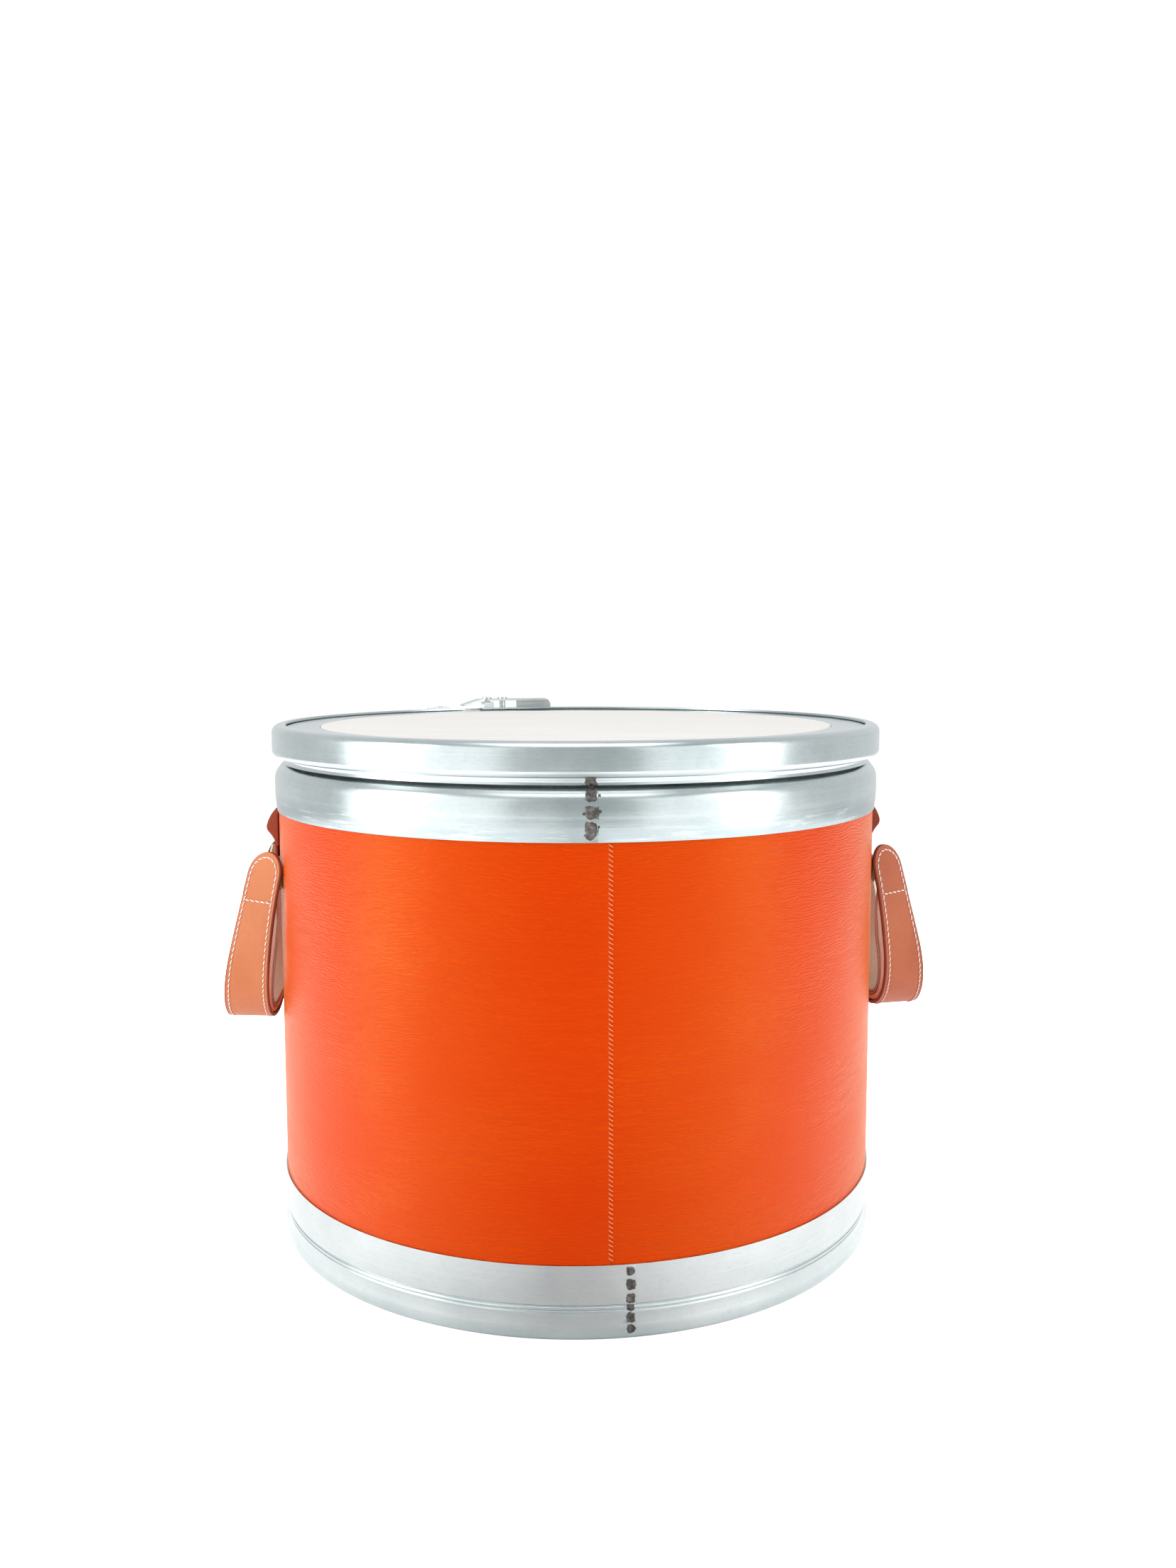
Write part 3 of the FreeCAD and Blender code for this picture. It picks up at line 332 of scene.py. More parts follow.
def fibreboard():
    """Wound kraft board: fibres and faint spiral bands."""
    f = Finish("fibreboard", roughness=0.8, specular=0.25)
    fibres = f.noise((160.0, 160.0, 900.0), detail=4.0)
    bands = f.noise((4.0, 4.0, 26.0), detail=2.0)
    base = f.ramp(bands, [(0.3, (0.40, 0.25, 0.13)), (0.7, (0.48, 0.31, 0.17))])
    f.colour(f.mix(f.grey(fibres, 0.0, 0.5, 0.5, 0.75), base, (0.28, 0.16, 0.08)))
    f.rough(f.grey(fibres, 0.72, 0.88, 0.3, 0.7))
    f.bump(fibres, 0.0001, 0.5)


def make_materials():
    """Every finish of the drum. The photo's right strap is darker than its left one."""
    orange_leather()
    galvanised_steel("galvanised_steel", False)
    galvanised_steel("scuffed_steel", True)
    bright_steel()
    weld_metal()
    pale_wood()
    hide("tan_leather_right", [(0.335, 0.082, 0.037), (0.37, 0.095, 0.044), (0.41, 0.110, 0.052)])
    hide("tan_leather_left", [(0.46, 0.137, 0.055), (0.50, 0.157, 0.065), (0.54, 0.177, 0.076)])
    hide("edge_leather", [(0.16, 0.033, 0.018), (0.21, 0.045, 0.024), (0.27, 0.06, 0.032)])
    # Keeper and hanger leather: its dark red-brown is partly the leather's own colour and partly painted
    # shade.
    hide("dark_leather", [(0.22, 0.038, 0.020), (0.29, 0.052, 0.028), (0.35, 0.07, 0.04)], 0.7, 0.0002)
    webbing("cream_webbing", (0.88, 0.88, 0.76), (0.74, 0.73, 0.60), False)
    # The herringbone tape's brown is partly its own colour and partly painted shade for the inside of the
    # loop.
    webbing("herringbone", (0.74, 0.60, 0.44), (0.34, 0.22, 0.15), True)
    twisted_thread("white_thread", (0.92, 0.90, 0.87), (0.70, 0.64, 0.60))
    twisted_thread("seam_stitching", (0.93, 0.42, 0.22), (0.80, 0.22, 0.08))
    twisted_thread("selvedge_thread", (0.72, 0.40, 0.36), (0.50, 0.22, 0.20))
    rubber()
    fibreboard()


# ---- mesh helpers


def placed(name, data):
    """An object that shows a mesh, a lamp or a camera, in the scene."""
    made = bpy.data.objects.new(name, data)
    bpy.context.scene.collection.objects.link(made)
    return made


def piece(name, points, faces, material, body, slot, uvs=None, replaces=()):
    """Makes a smooth mesh object from points in millimetres, and sets it on its body."""
    mesh = bpy.data.meshes.new(name)
    mesh.from_pydata([Vector(point) * MM for point in points], [], faces)
    materials = material if isinstance(material, list) else [material]
    for each in materials:
        mesh.materials.append(MATERIALS[each])
    if uvs is not None:
        layer = mesh.uv_layers.new(name="weave")
        for loop in mesh.loops:
            layer.data[loop.index].uv = uvs[loop.vertex_index]
    mesh.polygons.foreach_set("use_smooth", [True] * len(mesh.polygons))
    made = placed(name, mesh)
    face_out(mesh)
    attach(made, body)
    if replaces:
        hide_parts(*replaces)
    return made


def face_out(mesh):
    """Turns every face of a closed mesh outwards."""
    work = bmesh.new()
    work.from_mesh(mesh)
    bmesh.ops.recalc_face_normals(work, faces=work.faces)
    work.to_mesh(mesh)
    work.free()


def apply_modifiers(made):
    """Replaces an object's mesh by the one that its modifiers give."""
    bpy.context.view_layer.update()
    graph = bpy.context.evaluated_depsgraph_get()
    finished = bpy.data.meshes.new_from_object(made.evaluated_get(graph))
    made.modifiers.clear()
    made.data = finished


def cylinder_place(angle, radius, height):
    """Point at an angle in degrees from the front of the drum, towards +X."""
    turn = math.radians(angle)
    return Vector((radius * math.sin(turn), -radius * math.cos(turn), height))


def side_turned(side):
    """Turns a point from a side's own directions to the drum's."""
    return Matrix.Rotation(math.radians(SIDE_TURN[side]), 3, "Z")


def sharpen(made, angle):
    """Keeps the edges sharper than an angle in degrees crisp under smooth shading."""
    made.data.set_sharp_from_angle(angle=math.radians(angle))


def rounded_box(left, right, low, high, radius, steps=4):
    """Corners of a rounded rectangle, counter-clockwise."""
    radius = min(radius, (right - left) / 2 * 0.98, (high - low) / 2 * 0.98)
    centres = [
        (right - radius, high - radius, 0),
        (left + radius, high - radius, 90),
        (left + radius, low + radius, 180),
        (right - radius, low + radius, 270),
    ]
    corners = []
    for x, y, start in centres:
        for step in range(steps + 1):
            turn = math.radians(start + 90 * step / steps)
            corners.append((x + radius * math.cos(turn), y + radius * math.sin(turn)))
    return corners


def outline(corners, steps=10):
    """Points of a closed outline. A corner's third value is the radius of the arc that leaves it,
    positive where the arc turns left."""
    points = []
    for corner, after in zip(corners, corners[1:] + corners[:1]):
        start, end = Vector(corner[:2]), Vector(after[:2])
        points.append(start)
        if len(corner) < 3:
            continue
        chord = end - start
        radius = abs(corner[2])
        sign = math.copysign(1.0, corner[2])
        normal = Vector((-chord.y, chord.x)).normalized() * sign
        centre = (start + end) / 2 + normal * math.sqrt(max(0.0, radius ** 2 - (chord.length / 2) ** 2))
        first = math.atan2(start.y - centre.y, start.x - centre.x)
        sweep = 2 * math.asin(min(1.0, chord.length / 2 / radius)) * sign
        for step in range(1, steps):
            turn = first + sweep * step / steps
            points.append(centre + Vector((math.cos(turn), math.sin(turn))) * radius)
    return points


def tube_faces(rings, size, first=0, loop=False):
    """Faces between successive rings of size points each, from the point first on. The ends are
    closed, or joined in a loop."""
    faces = []
    for ring in range(rings if loop else rings - 1):
        near = first + ring * size
        far = first + (ring + 1) % rings * size
        for index in range(size):
            after = (index + 1) % size
            faces.append((near + index, near + after, far + after, far + index))
    if not loop:
        end = first + (rings - 1) * size
        faces.append(tuple(range(first + size - 1, first - 1, -1)))
        faces.append(tuple(range(end, end + size)))
    return faces


def capsule(start, end, radius, lift, points, faces, rings=6, size=8):
    """Adds a stitch: a thread that dips into the work at both ends and swells between them."""
    along = end - start
    side = along.cross(lift).normalized()
    first = len(points)
    for ring in range(rings + 1):
        part = ring / rings
        swell = math.sin(math.pi * (0.12 + 0.76 * part))
        middle = start + along * part + lift * (radius * 0.55 * (swell - 0.6))
        for index in range(size):
            turn = 2 * math.pi * index / size
            offset = side * math.cos(turn) + lift * math.sin(turn)
            points.append(middle + offset * (radius * (0.45 + 0.55 * swell)))
    faces += tube_faces(rings + 1, size, first)


# ---- leather wall and its seam


def seam_depth(angle):
    """How far the leather is drawn in at the seam, and how it swells beside it, in millimetres."""
    away = (angle - SEAM_ANGLE) * math.pi / 180 * BODY_RADIUS
    groove = 0.45 * math.exp(-((away / 0.8) ** 2))
    pucker = 0.10 * math.exp(-((away / 3.2) ** 2))
    return groove + pucker


def wall_angles():
    """Angles round the drum: even, with more of them beside the seam."""
    count, near = 300, 2.0
    fine = [SEAM_ANGLE + step * 0.1 for step in range(-20, 21)]
    gap = (360 - 2 * near) / count
    return fine + [SEAM_ANGLE + near + gap * step for step in range(1, count)]


def make_leather_wall():
    """The leather cladding, as one closed shell with a sewn channel at its seam."""
    low, high = skin_low.z, skin_high.z
    levels, end_length = 44, 9.0
    angles = wall_angles()
    points = []
    for angle in angles:
        for level in range(levels + 1):
            height = low + (high - low) * level / levels
            place = cylinder_place(angle, 1.0, 0.0)
            swell = noise.noise(place * 2.4 + Vector((0, 0, height * 0.012))) * 0.10 - 0.10
            ends = min(1.0, (height - low) / end_length, (high - height) / end_length)
            radius = BODY_RADIUS + swell * ends - seam_depth(angle) * (0.2 + 0.8 * ends)
            points.append(cylinder_place(angle, radius, height))
        points.append(cylinder_place(angle, BODY_RADIUS - LEATHER, high))
        points.append(cylinder_place(angle, BODY_RADIUS - LEATHER, low))
    size = levels + 3
    faces = tube_faces(len(angles), size, loop=True)
    made = piece("leather_wall", points, faces, "orange_leather", "drum", "orange_leather",
                 replaces=["leather_wrap"])
    sharpen(made, 50)


def make_seam_stitches():
    """Short slanting stitches down the seam."""
    points, faces = [], []
    pitch, half_height, radius = 2.7, 0.85, 0.27
    face = BODY_RADIUS - 0.13
    out = cylinder_place(SEAM_ANGLE, 1.0, 0.0)
    for index in range(int((HIGH_RIM - LOW_RIM - 2.0) / pitch)):
        height = LOW_RIM + 1.6 + pitch * (index + 0.5)
        shift = noise.noise(Vector((index * 0.7, 3.0, 0.0))) * 0.03
        wide = 0.36 + 0.03 * noise.noise(Vector((index * 1.3, 7.0, 0.0)))
        start = cylinder_place(SEAM_ANGLE - wide + shift, face, height + half_height)
        end = cylinder_place(SEAM_ANGLE + wide + shift, face, height - half_height)
        capsule(start, end, radius, out, points, faces)
    piece("seam_stitches", points, faces, "seam_stitching", "drum", "seam_stitching",
          replaces=["seam_thread"])


# ---- rolled steel, with its welds and laps


def make_turned(name, node, corners, material, body, start=0.0, sweep=360.0):
    """A profile of rolled sheet turned about the drum's axis. Angles are from the front, in degrees."""
    profile = outline(corners)
    whole = sweep == 360.0
    steps = round(sweep)
    rings = steps if whole else steps + 1
    points = []
    for step in range(rings):
        angle = start + sweep * step / steps
        points += [cylinder_place(angle, spot.x, spot.y) for spot in profile]
    faces = tube_faces(rings, len(profile), loop=whole)
    made = piece(name, points, faces, material, body, "galvanised_steel", replaces=[node])
    sharpen(made, 38)
    return made


def make_top_sheet():
    """Top chime: an outer skirt over the leather, a neck, a bead and an inner skirt."""
    rim, bead, turn = HIGH_RIM, BEAD_TOP, 2.8
    neck = SKIRT - 5.0
    bead_outer = BODY_RADIUS - 1.1
    inner = WALL_INNER - STEEL - 0.1
    crown = inner + turn
    corners = [
        (SKIRT, rim, 90), (SKIRT + 1.05, rim + 13.0, 60), (SKIRT + 0.95, rim + 20.5, 9.5),
        (SKIRT - 1.75, rim + 27.2, 12), (neck, rim + 30.6, -3.2), (neck, rim + 33.8, -5.5),
        (bead_outer, rim + 38.2), (bead_outer, bead - turn, turn),
        (bead_outer - turn, bead), (crown, bead, turn), (inner, bead - turn),
        (inner, rim + 12.0), (inner + STEEL, rim + 12.0),
        (inner + STEEL, bead - turn, STEEL - turn), (crown, bead - STEEL),
        (bead_outer - turn, bead - STEEL, STEEL - turn), (bead_outer - STEEL, bead - turn),
        (bead_outer - STEEL, rim + 38.5, 6.3), (neck - STEEL, rim + 34.2, 4.0),
        (neck - STEEL, rim + 30.1, -11.2), (SKIRT - 2.33, rim + 26.65, -8.7),
        (SKIRT + 0.95 - STEEL, rim + 20.3, -59.2),
        (SKIRT + 1.05 - STEEL, rim + 13.0, -89.2), (SKIRT - STEEL, rim),
    ]
    return make_turned("top_chime_sheet", "top_chime", corners, "scuffed_steel", "drum")


def make_bottom_sheet():
    """Bottom chime: a ribbed outer wall, a rolled edge and a shelf for the board."""
    bore, shelf = SKIRT - STEEL, 8.0
    roll = SKIRT - 4.2
    shelf_end = WALL_INNER - 10.0
    corners = [
        (bore, LOW_RIM), (bore, 20.8), (bore - 0.75, 19.6), (bore - 0.05, 18.3),
        (bore - 0.85, 17.0), (bore - 0.3, 15.8), (bore - 0.6, 12.2), (bore + 0.5, 8.6),
        (bore + 0.75, 3.6, -2.8), (roll + 2.2, STEEL), (roll + 1.6, STEEL, -1.6),
        (roll, 2.4), (roll, shelf + STEEL), (shelf_end, shelf + STEEL), (shelf_end, shelf),
        (roll - STEEL, shelf), (roll - STEEL, 2.4, 2.4), (roll + 1.6, 0),
        (roll + 2.2, 0, 3.6), (SKIRT + 0.75, 3.6), (SKIRT + 0.5, 8.8), (SKIRT - 0.6, 12.4),
        (SKIRT - 0.3, 15.8, 1.6), (SKIRT - 0.85, 17.0, -1.2), (SKIRT - 0.05, 18.3, 1.6),
        (SKIRT - 0.75, 19.6, -1.4), (SKIRT, 21.0), (SKIRT, LOW_RIM),
    ]
    return make_turned("bottom_chime_sheet", "bottom_chime", corners, "galvanised_steel", "drum")


def make_ring_band():
    """Closing ring of C section, split where the lever closes it."""
    low, top = RING_LOW, RING_TOP
    outer, steel, flange, lip = BODY_RADIUS + 3.4, 1.2, 8.8, 2.6
    shoulder, heel = 5.0, 4.0
    corners = [
        (outer - flange, top - steel), (outer - shoulder, top - steel, -3.8),
        (outer - steel, top - shoulder), (outer - steel, low + heel, -2.8),
        (outer - lip, low + steel), (outer - lip, low, 4.4), (outer, low + heel),
        (outer, top - shoulder, shoulder), (outer - shoulder, top), (outer - flange, top),
    ]
    gap_centre, gap_half = 205.3, 2.2
    make_turned("closing_ring_band", "closing_ring", corners, "galvanised_steel", "ring",
                gap_centre + gap_half, 360.0 - 2 * gap_half)


def surface_of(chime):
    """A function that gives the outer surface of a chime's sheet at an angle and height."""
    points = [vertex.co.copy() for vertex in chime.data.vertices]
    tree = BVHTree.FromPolygons(points, [tuple(face.vertices) for face in chime.data.polygons])

    def hit(angle, height):
        start = cylinder_place(angle, BODY_RADIUS + 30, height) * MM
        inward = -cylinder_place(angle, 1.0, 0.0)
        place, normal = tree.ray_cast(start, inward)[:2]
        return place / MM, normal

    return hit


def add_blob(hit, angle, height, wide, tall, lift, seed, points, faces):
    """A spot of weld metal: a low crater with a ragged rim."""
    first = len(points)
    rings, size = 6, 26
    place, normal = hit(angle, height)
    points.append(place + normal * lift * 0.75)
    for ring in range(1, rings + 1):
        part = ring / rings
        for index in range(size):
            turn = 2 * math.pi * index / size
            spot = Vector((math.cos(turn) * 1.6, math.sin(turn) * 1.6, seed * 3.7))
            ragged = 1.0 + 0.24 * noise.noise(spot) + 0.16 * noise.noise(spot * 3.1)
            square = 1.0 / max(abs(math.cos(turn)), abs(math.sin(turn))) ** 0.55
            across = wide / 2 * part * ragged * square * math.cos(turn)
            up = tall / 2 * part * ragged * square * math.sin(turn)
            where = angle + math.degrees(across / BODY_RADIUS)
            place, normal = hit(where, height + up)
            rim = 1.0 + 0.35 * math.exp(-(((part - 0.72) / 0.16) ** 2))
            fall = 1.0 if part < 0.8 else math.cos((part - 0.8) / 0.2 * math.pi / 2)
            rough = 0.22 * noise.noise(Vector((across * 1.7, up * 1.7, seed)))
            points.append(place + normal * (lift * (rim * 0.75 + rough) * fall - 0.06 * part))
    base = len(points)
    place, normal = hit(angle, height)
    points.append(place - normal * 0.4)
    for index in range(size):
        after = (index + 1) % size
        outer = first + 1
        faces.append((first, outer + index, outer + after))
        for ring in range(rings - 1):
            inner, outer = outer, outer + size
            faces.append((inner + index, outer + index, outer + after, inner + after))
        faces.append((outer + index, base, outer + after))


def make_lap(name, chime, start, end, low, high, lift, material):
    """The overlapping end of a chime's band: a thin sheet that stands off it at one edge."""
    hit = surface_of(chime)
    across, levels = 10, 60
    points = []
    for level in range(levels + 1):
        height = low + (high - low) * level / levels
        ends = min(1.0, level / 3.0, (levels - level) / 3.0)
        for step in range(across + 1):
            part = step / across
            place, normal = hit(start + (end - start) * part, height)
            points.append(place + normal * (0.02 + lift * part ** 1.5) * (0.3 + 0.7 * ends))
        for step in range(across, -1, -1):
            place, normal = hit(start + (end - start) * step / across, height)
            points.append(place - normal * 0.25)
    size = 2 * (across + 1)
    made = piece(name, points, tube_faces(levels + 1, size), material, "drum", "galvanised_steel")
    sharpen(made, 40)


def make_welds(name, chime, node, angle, foot, spots, splashes):
    """Spot welds in a row down a lap, as (height, width, tallness), with splashes beside them, as
    (degrees from the row, height, size). Heights are from the chime's foot."""
    hit = surface_of(chime)
    points, faces = [], []
    for seed, (height, wide, tall) in enumerate(spots):
        add_blob(hit, angle, foot + height, wide, tall, 0.55, seed + 1.5, points, faces)
    for seed, (shift, height, size) in enumerate(splashes):
        add_blob(hit, angle + shift, foot + height, size, size, 0.30, seed + 20.5, points, faces)
    piece(name, points, faces, "weld_metal", "drum", "weld_metal", replaces=[node])


def make_chimes():
    """Both chimes, with their lapped and spot-welded ends."""
    top, bottom = make_top_sheet(), make_bottom_sheet()
    make_lap("top_chime_lap", top, 0.9, 3.3, HIGH_RIM + 0.2, BEAD_TOP - 14.5, 0.42, "scuffed_steel")
    make_lap("bottom_chime_lap", bottom, 7.4, 9.45, 1.2, LOW_RIM - 0.2, 0.42, "galvanised_steel")
    spots = [(6.7, 8.0, 10.6), (16.5, 7.8, 8.4), (25.8, 7.4, 7.4), (33.4, 7.4, 7.4)]
    splashes = [(1.25, 17.2, 2.0), (1.2, 25.8, 1.6), (-1.2, 16.0, 1.8), (1.05, 8.7, 1.4), (-1.1, 4.2, 1.2)]
    make_welds("top_chime_spots", top, "top_chime_welds", 2.4, HIGH_RIM, spots, splashes)
    spots = [(40.2, 5.6, 5.4), (32.2, 5.8, 7.4), (24.2, 5.8, 6.4), (18.4, 5.2, 4.6), (12.8, 5.6, 6.8),
             (6.4, 5.2, 5.6)]
    splashes = [(-0.7, 33.0, 1.0), (0.75, 25.2, 0.9), (-0.7, 13.4, 0.9)]
    make_welds("bottom_chime_spots", bottom, "bottom_chime_welds", 8.65, 0.0, spots, splashes)


# ---- handles


def loop_centre(travel):
    """Middle of the face between the handle's leather and webbing, for travel from 0 to 1.
    The first part of the travel is the round bottom of the loop; the rest is an upright leg."""
    half, low, turn_up, tip = 47.6, AXIS_UP - 129.0, AXIS_UP - 79.0, AXIS_UP - 12.2
    stands_out, leans_in = AXIS_OUT + 17.2, 20.9
    if travel <= BEND_SHARE:
        angle = travel / BEND_SHARE * math.pi / 2
        along = half * math.sin(angle)
        height = turn_up - (turn_up - low) * math.cos(angle)
    else:
        along = half
        height = turn_up + (tip - turn_up) * (travel - BEND_SHARE) / (1 - BEND_SHARE)
    rise = (height - low) / (tip - low)
    return Vector((stands_out - leans_in * rise ** 1.44, along, height))


def loop_frame(travel):
    """Place on the loop for travel from -1 to 1, one tip to the other: the centre, the direction
    across the strap and the direction out of the loop. The strap turns as its legs rise."""
    amount = abs(travel)
    step, most_twist = 0.004, 42.0
    centre = loop_centre(amount)
    slope = loop_centre(min(1.0, amount + step)) - loop_centre(max(0.0, amount - step))
    if amount == 0:
        slope = Vector((0, 1, 0))
    outside = slope.cross(Vector((1, 0, 0))).normalized()
    ease = amount / math.sqrt(amount * amount + 0.02)
    twist = math.radians(most_twist * amount * (2 - amount) * ease)
    out = Vector((1, 0, 0))
    across = out * math.cos(twist) - outside * math.sin(twist)
    facing = out * math.sin(twist) + outside * math.cos(twist)
    if travel < 0:
        centre.y, across.y, facing.y = -centre.y, -across.y, -facing.y
    return centre, across, facing


TRAVEL_STEPS = 400
leg_lengths = [0.0]
for step in range(TRAVEL_STEPS):
    reach = loop_centre((step + 1) / TRAVEL_STEPS) - loop_centre(step / TRAVEL_STEPS)
    leg_lengths.append(leg_lengths[-1] + reach.length)
LEG = leg_lengths[-1]
WEBBING_END = LEG * 0.945
SELVEDGE_END = LEG * 0.93


def travel_at(distance):
    """Travel at a distance in millimetres along the loop from its bottom, with the same sign."""
    length = min(abs(distance), LEG)
    low = min(bisect.bisect_right(leg_lengths, length), TRAVEL_STEPS) - 1
    part = (length - leg_lengths[low]) / (leg_lengths[low + 1] - leg_lengths[low])
    return math.copysign((low + part) / TRAVEL_STEPS, distance)


def strap_point(side, distance, across, facing):
    """Point on the strap: along it from the loop's bottom, across it, and out from its back."""
    centre, sideways, outward = loop_frame(travel_at(distance))
    return side_turned(side) @ (centre + sideways * across + outward * facing)


def half_width(distance, half):
    """Half the strap's width, which closes in a half circle at each tip."""
    left = LEG - abs(distance)
    if left >= half:
        return half
    return max(0.6, half * math.sqrt(max(0.0, 1 - (1 - left / half) ** 2)))


def strap_distances():
    """Distances along the strap for its sections: close together round the tips."""
    tips = [LEG - STRAP_HALF * (1 - math.cos(math.radians(turn))) for turn in range(4, 90, 6)]
    body_half = LEG - STRAP_HALF
    count = 56
    straight = [body_half * step / count for step in range(1, count + 1)]
    positive = straight + tips[::-1]
    return [-value for value in reversed(positive)] + [0.0] + positive


FRONT_STEPS = 24


def strap_outline(half, distance):
    """Section of the strap: rounded edges, and a shallow channel that each row of stitches lies in."""
    front = []
    thick = STRAP_LEATHER
    worn = 0.12 * noise.noise(Vector((distance * 0.05, 2.0, 0.0)))
    for step in range(FRONT_STEPS + 1):
        across = half * 0.93 * (1 - 2 * step / FRONT_STEPS)
        away = abs(abs(across) - (half - STITCH_INSET)) / 0.9
        channel = 0.28 * math.exp(-away * away) * min(1.0, max(0.0, (half - 5.0) / 3.0))
        crown = 0.18 * (1 - (across / half) ** 2)
        front.append((across, thick - 0.18 + crown - channel + worn * 0.3))
    left = [(-half * 0.975, thick * 0.90), (-half, thick * 0.62)]
    left += [(-half, thick * 0.32), (-half * 0.975, 0.08)]
    right = [(-x, y) for x, y in reversed(left)]
    return front + left + right


def make_strap(side):
    """Leather grip strap with burnished edges."""
    distances = strap_distances()
    points = []
    for distance in distances:
        half = half_width(distance, STRAP_HALF)
        for across, facing in strap_outline(half, distance):
            points.append(strap_point(side, distance, across, facing))
    size = len(strap_outline(STRAP_HALF, 0.0))
    faces = tube_faces(len(distances), size)
    made = piece(side + "_grip_strap", points, faces, ["tan_leather_" + side, "edge_leather"],
                 side + "_handle", "tan_leather", replaces=[side + "_handle_strap"])
    for index, face in enumerate(made.data.polygons):
        if index >= (len(distances) - 1) * size or index % size >= FRONT_STEPS:
            face.material_index = 1
    sharpen(made, 60)


def stitch_path(inset):
    """The rows of stitches as (distance, across) pairs: once round the strap's whole edge."""
    radius = STRAP_HALF - inset
    middle = LEG - STRAP_HALF
    along, around = 200, 60
    path = []
    for sign in (1, -1):
        for step in range(along):
            path.append((sign * (2 * middle * step / along - middle), sign * radius))
        for step in range(around):
            turn = math.pi * step / around
            path.append((sign * (middle + radius * math.sin(turn)), sign * radius * math.cos(turn)))
    return path + path[:1]


def row_of_stitches(side, path, facing, points, faces):
    """Adds slanting stitches along a path at an even pitch."""
    length, radius, slant = 3.5, 0.42, 0.28
    reach = [0.0]
    places = [strap_point(side, distance, across, facing) for distance, across in path]
    for first, second in zip(places, places[1:]):
        reach.append(reach[-1] + (second - first).length)
    count = round(reach[-1] / STITCH_PITCH)
    spacing = reach[-1] / count

    def place_at(target):
        index = min(bisect.bisect_left(reach, target, 1), len(reach) - 1) - 1
        part = (target - reach[index]) / (reach[index + 1] - reach[index])
        return Vector(path[index]).lerp(Vector(path[index + 1]), part)

    for stitch in range(count):
        middle = spacing * (stitch + 0.5)
        first, last = place_at(middle - length / 2), place_at(middle + length / 2)
        start = strap_point(side, first.x, first.y, facing)
        end = strap_point(side, last.x, last.y, facing)
        outward = side_turned(side) @ loop_frame(travel_at((first.x + last.x) / 2))[2]
        sideways = (end - start).cross(outward).normalized()
        capsule(start - sideways * slant, end + sideways * slant, radius, outward, points, faces)


def make_stitching(side):
    """Saddle stitches round the strap, with a row across it below each tip."""
    points, faces = [], []
    face = STRAP_LEATHER - 0.02
    row_of_stitches(side, stitch_path(STITCH_INSET), face, points, faces)
    for sign in (-1, 1):
        distance = sign * (LEG - 33.0)
        width = STRAP_HALF - STITCH_INSET - 0.6
        path = [(distance, -width + 2 * width * step / 20) for step in range(21)]
        row_of_stitches(side, path, face + 0.16, points, faces)
    piece(side + "_saddle_stitches", points, faces, "white_thread", side + "_handle", "white_thread",
          replaces=[side + "_handle_thread"])


def webbing_reach(travel):
    """How far the webbing reaches towards the drum: it draws back where the legs rise."""
    amount = abs(travel)
    return STRAP_HALF - 0.4 - 7.0 * max(0.0, (amount - 0.62) / 0.32)


def webbing_depth(travel):
    """Thickness of both layers of webbing: full in the grip, thin on the drum."""
    amount = abs(travel)
    return 7.4 - 5.2 * min(1.0, max(0.0, (amount - 0.48) / 0.26))


def add_tape(sections, points, faces, uvs):
    """Adds tape through sections. Each is its place along the tape, and its outline as rows of
    (point, across, up)."""
    faces += tube_faces(len(sections), len(sections[0][1]), len(points))
    for along, rows in sections:
        length = 0.0
        last = rows[0][1:]
        for point, across, up in rows:
            points.append(point)
            length += math.hypot(across - last[0], up - last[1])
            last = (across, up)
            uvs.append((length, along))


def layer(side, back_share, front_share, tape):
    """Adds a layer of webbing along the loop, from one share of the webbing's depth to another."""
    count = 96
    sections = []
    for step in range(count + 1):
        distance = -WEBBING_END + 2 * WEBBING_END * step / count
        travel = travel_at(distance)
        depth = webbing_depth(travel)
        low, high = -depth * back_share - 0.1, -depth * front_share - 0.1
        section = rounded_box(-webbing_reach(travel), STRAP_HALF - 0.5, low, high, (high - low) * 0.42)
        rows = []
        for across, facing in section:
            ripple = 0.08 * noise.noise(Vector((distance * 0.12, across * 0.2, back_share)))
            rows.append((strap_point(side, distance, across, facing + ripple), across, facing))
        sections.append((distance, rows))
    add_tape(sections, *tape)


def bridge_band(side, tape):
    """Adds the webbing's flat part along the drum, under the hanger."""
    low, high, inner, outer = AXIS_UP - 36.8, AXIS_UP - 21.2, BODY_RADIUS + 0.65, BODY_RADIUS + 2.25
    span, count, length_per_degree = 14.8, 40, 3.5
    sections = []
    for step in range(count + 1):
        degrees = -span + 2 * span * step / count
        angle = math.radians(degrees)
        rows = []
        for radius, height in rounded_box(inner, outer, low, high, 1.2):
            spot = Vector((radius * math.cos(angle), radius * math.sin(angle), height))
            rows.append((side_turned(side) @ spot, radius, height))
        sections.append((degrees * length_per_degree, rows))
    add_tape(sections, *tape)


def selvedge(side):
    """Small pink stitches where the two layers of webbing meet: their points and faces."""
    points, faces = [], []
    pitch, half_length, radius = 1.9, 0.75, 0.34
    for index in range(int(2 * SELVEDGE_END / pitch)):
        distance = pitch * (index + 0.5) - SELVEDGE_END
        travel = travel_at(distance)
        facing = -0.1 - webbing_depth(travel) * 0.73
        across = -webbing_reach(travel) - 0.05
        start = strap_point(side, distance - half_length, across, facing - 0.2)
        end = strap_point(side, distance + half_length, across, facing + 0.2)
        outward = -(side_turned(side) @ loop_frame(travel)[1])
        capsule(start, end, radius, outward, points, faces, rings=4, size=6)
    return points, faces


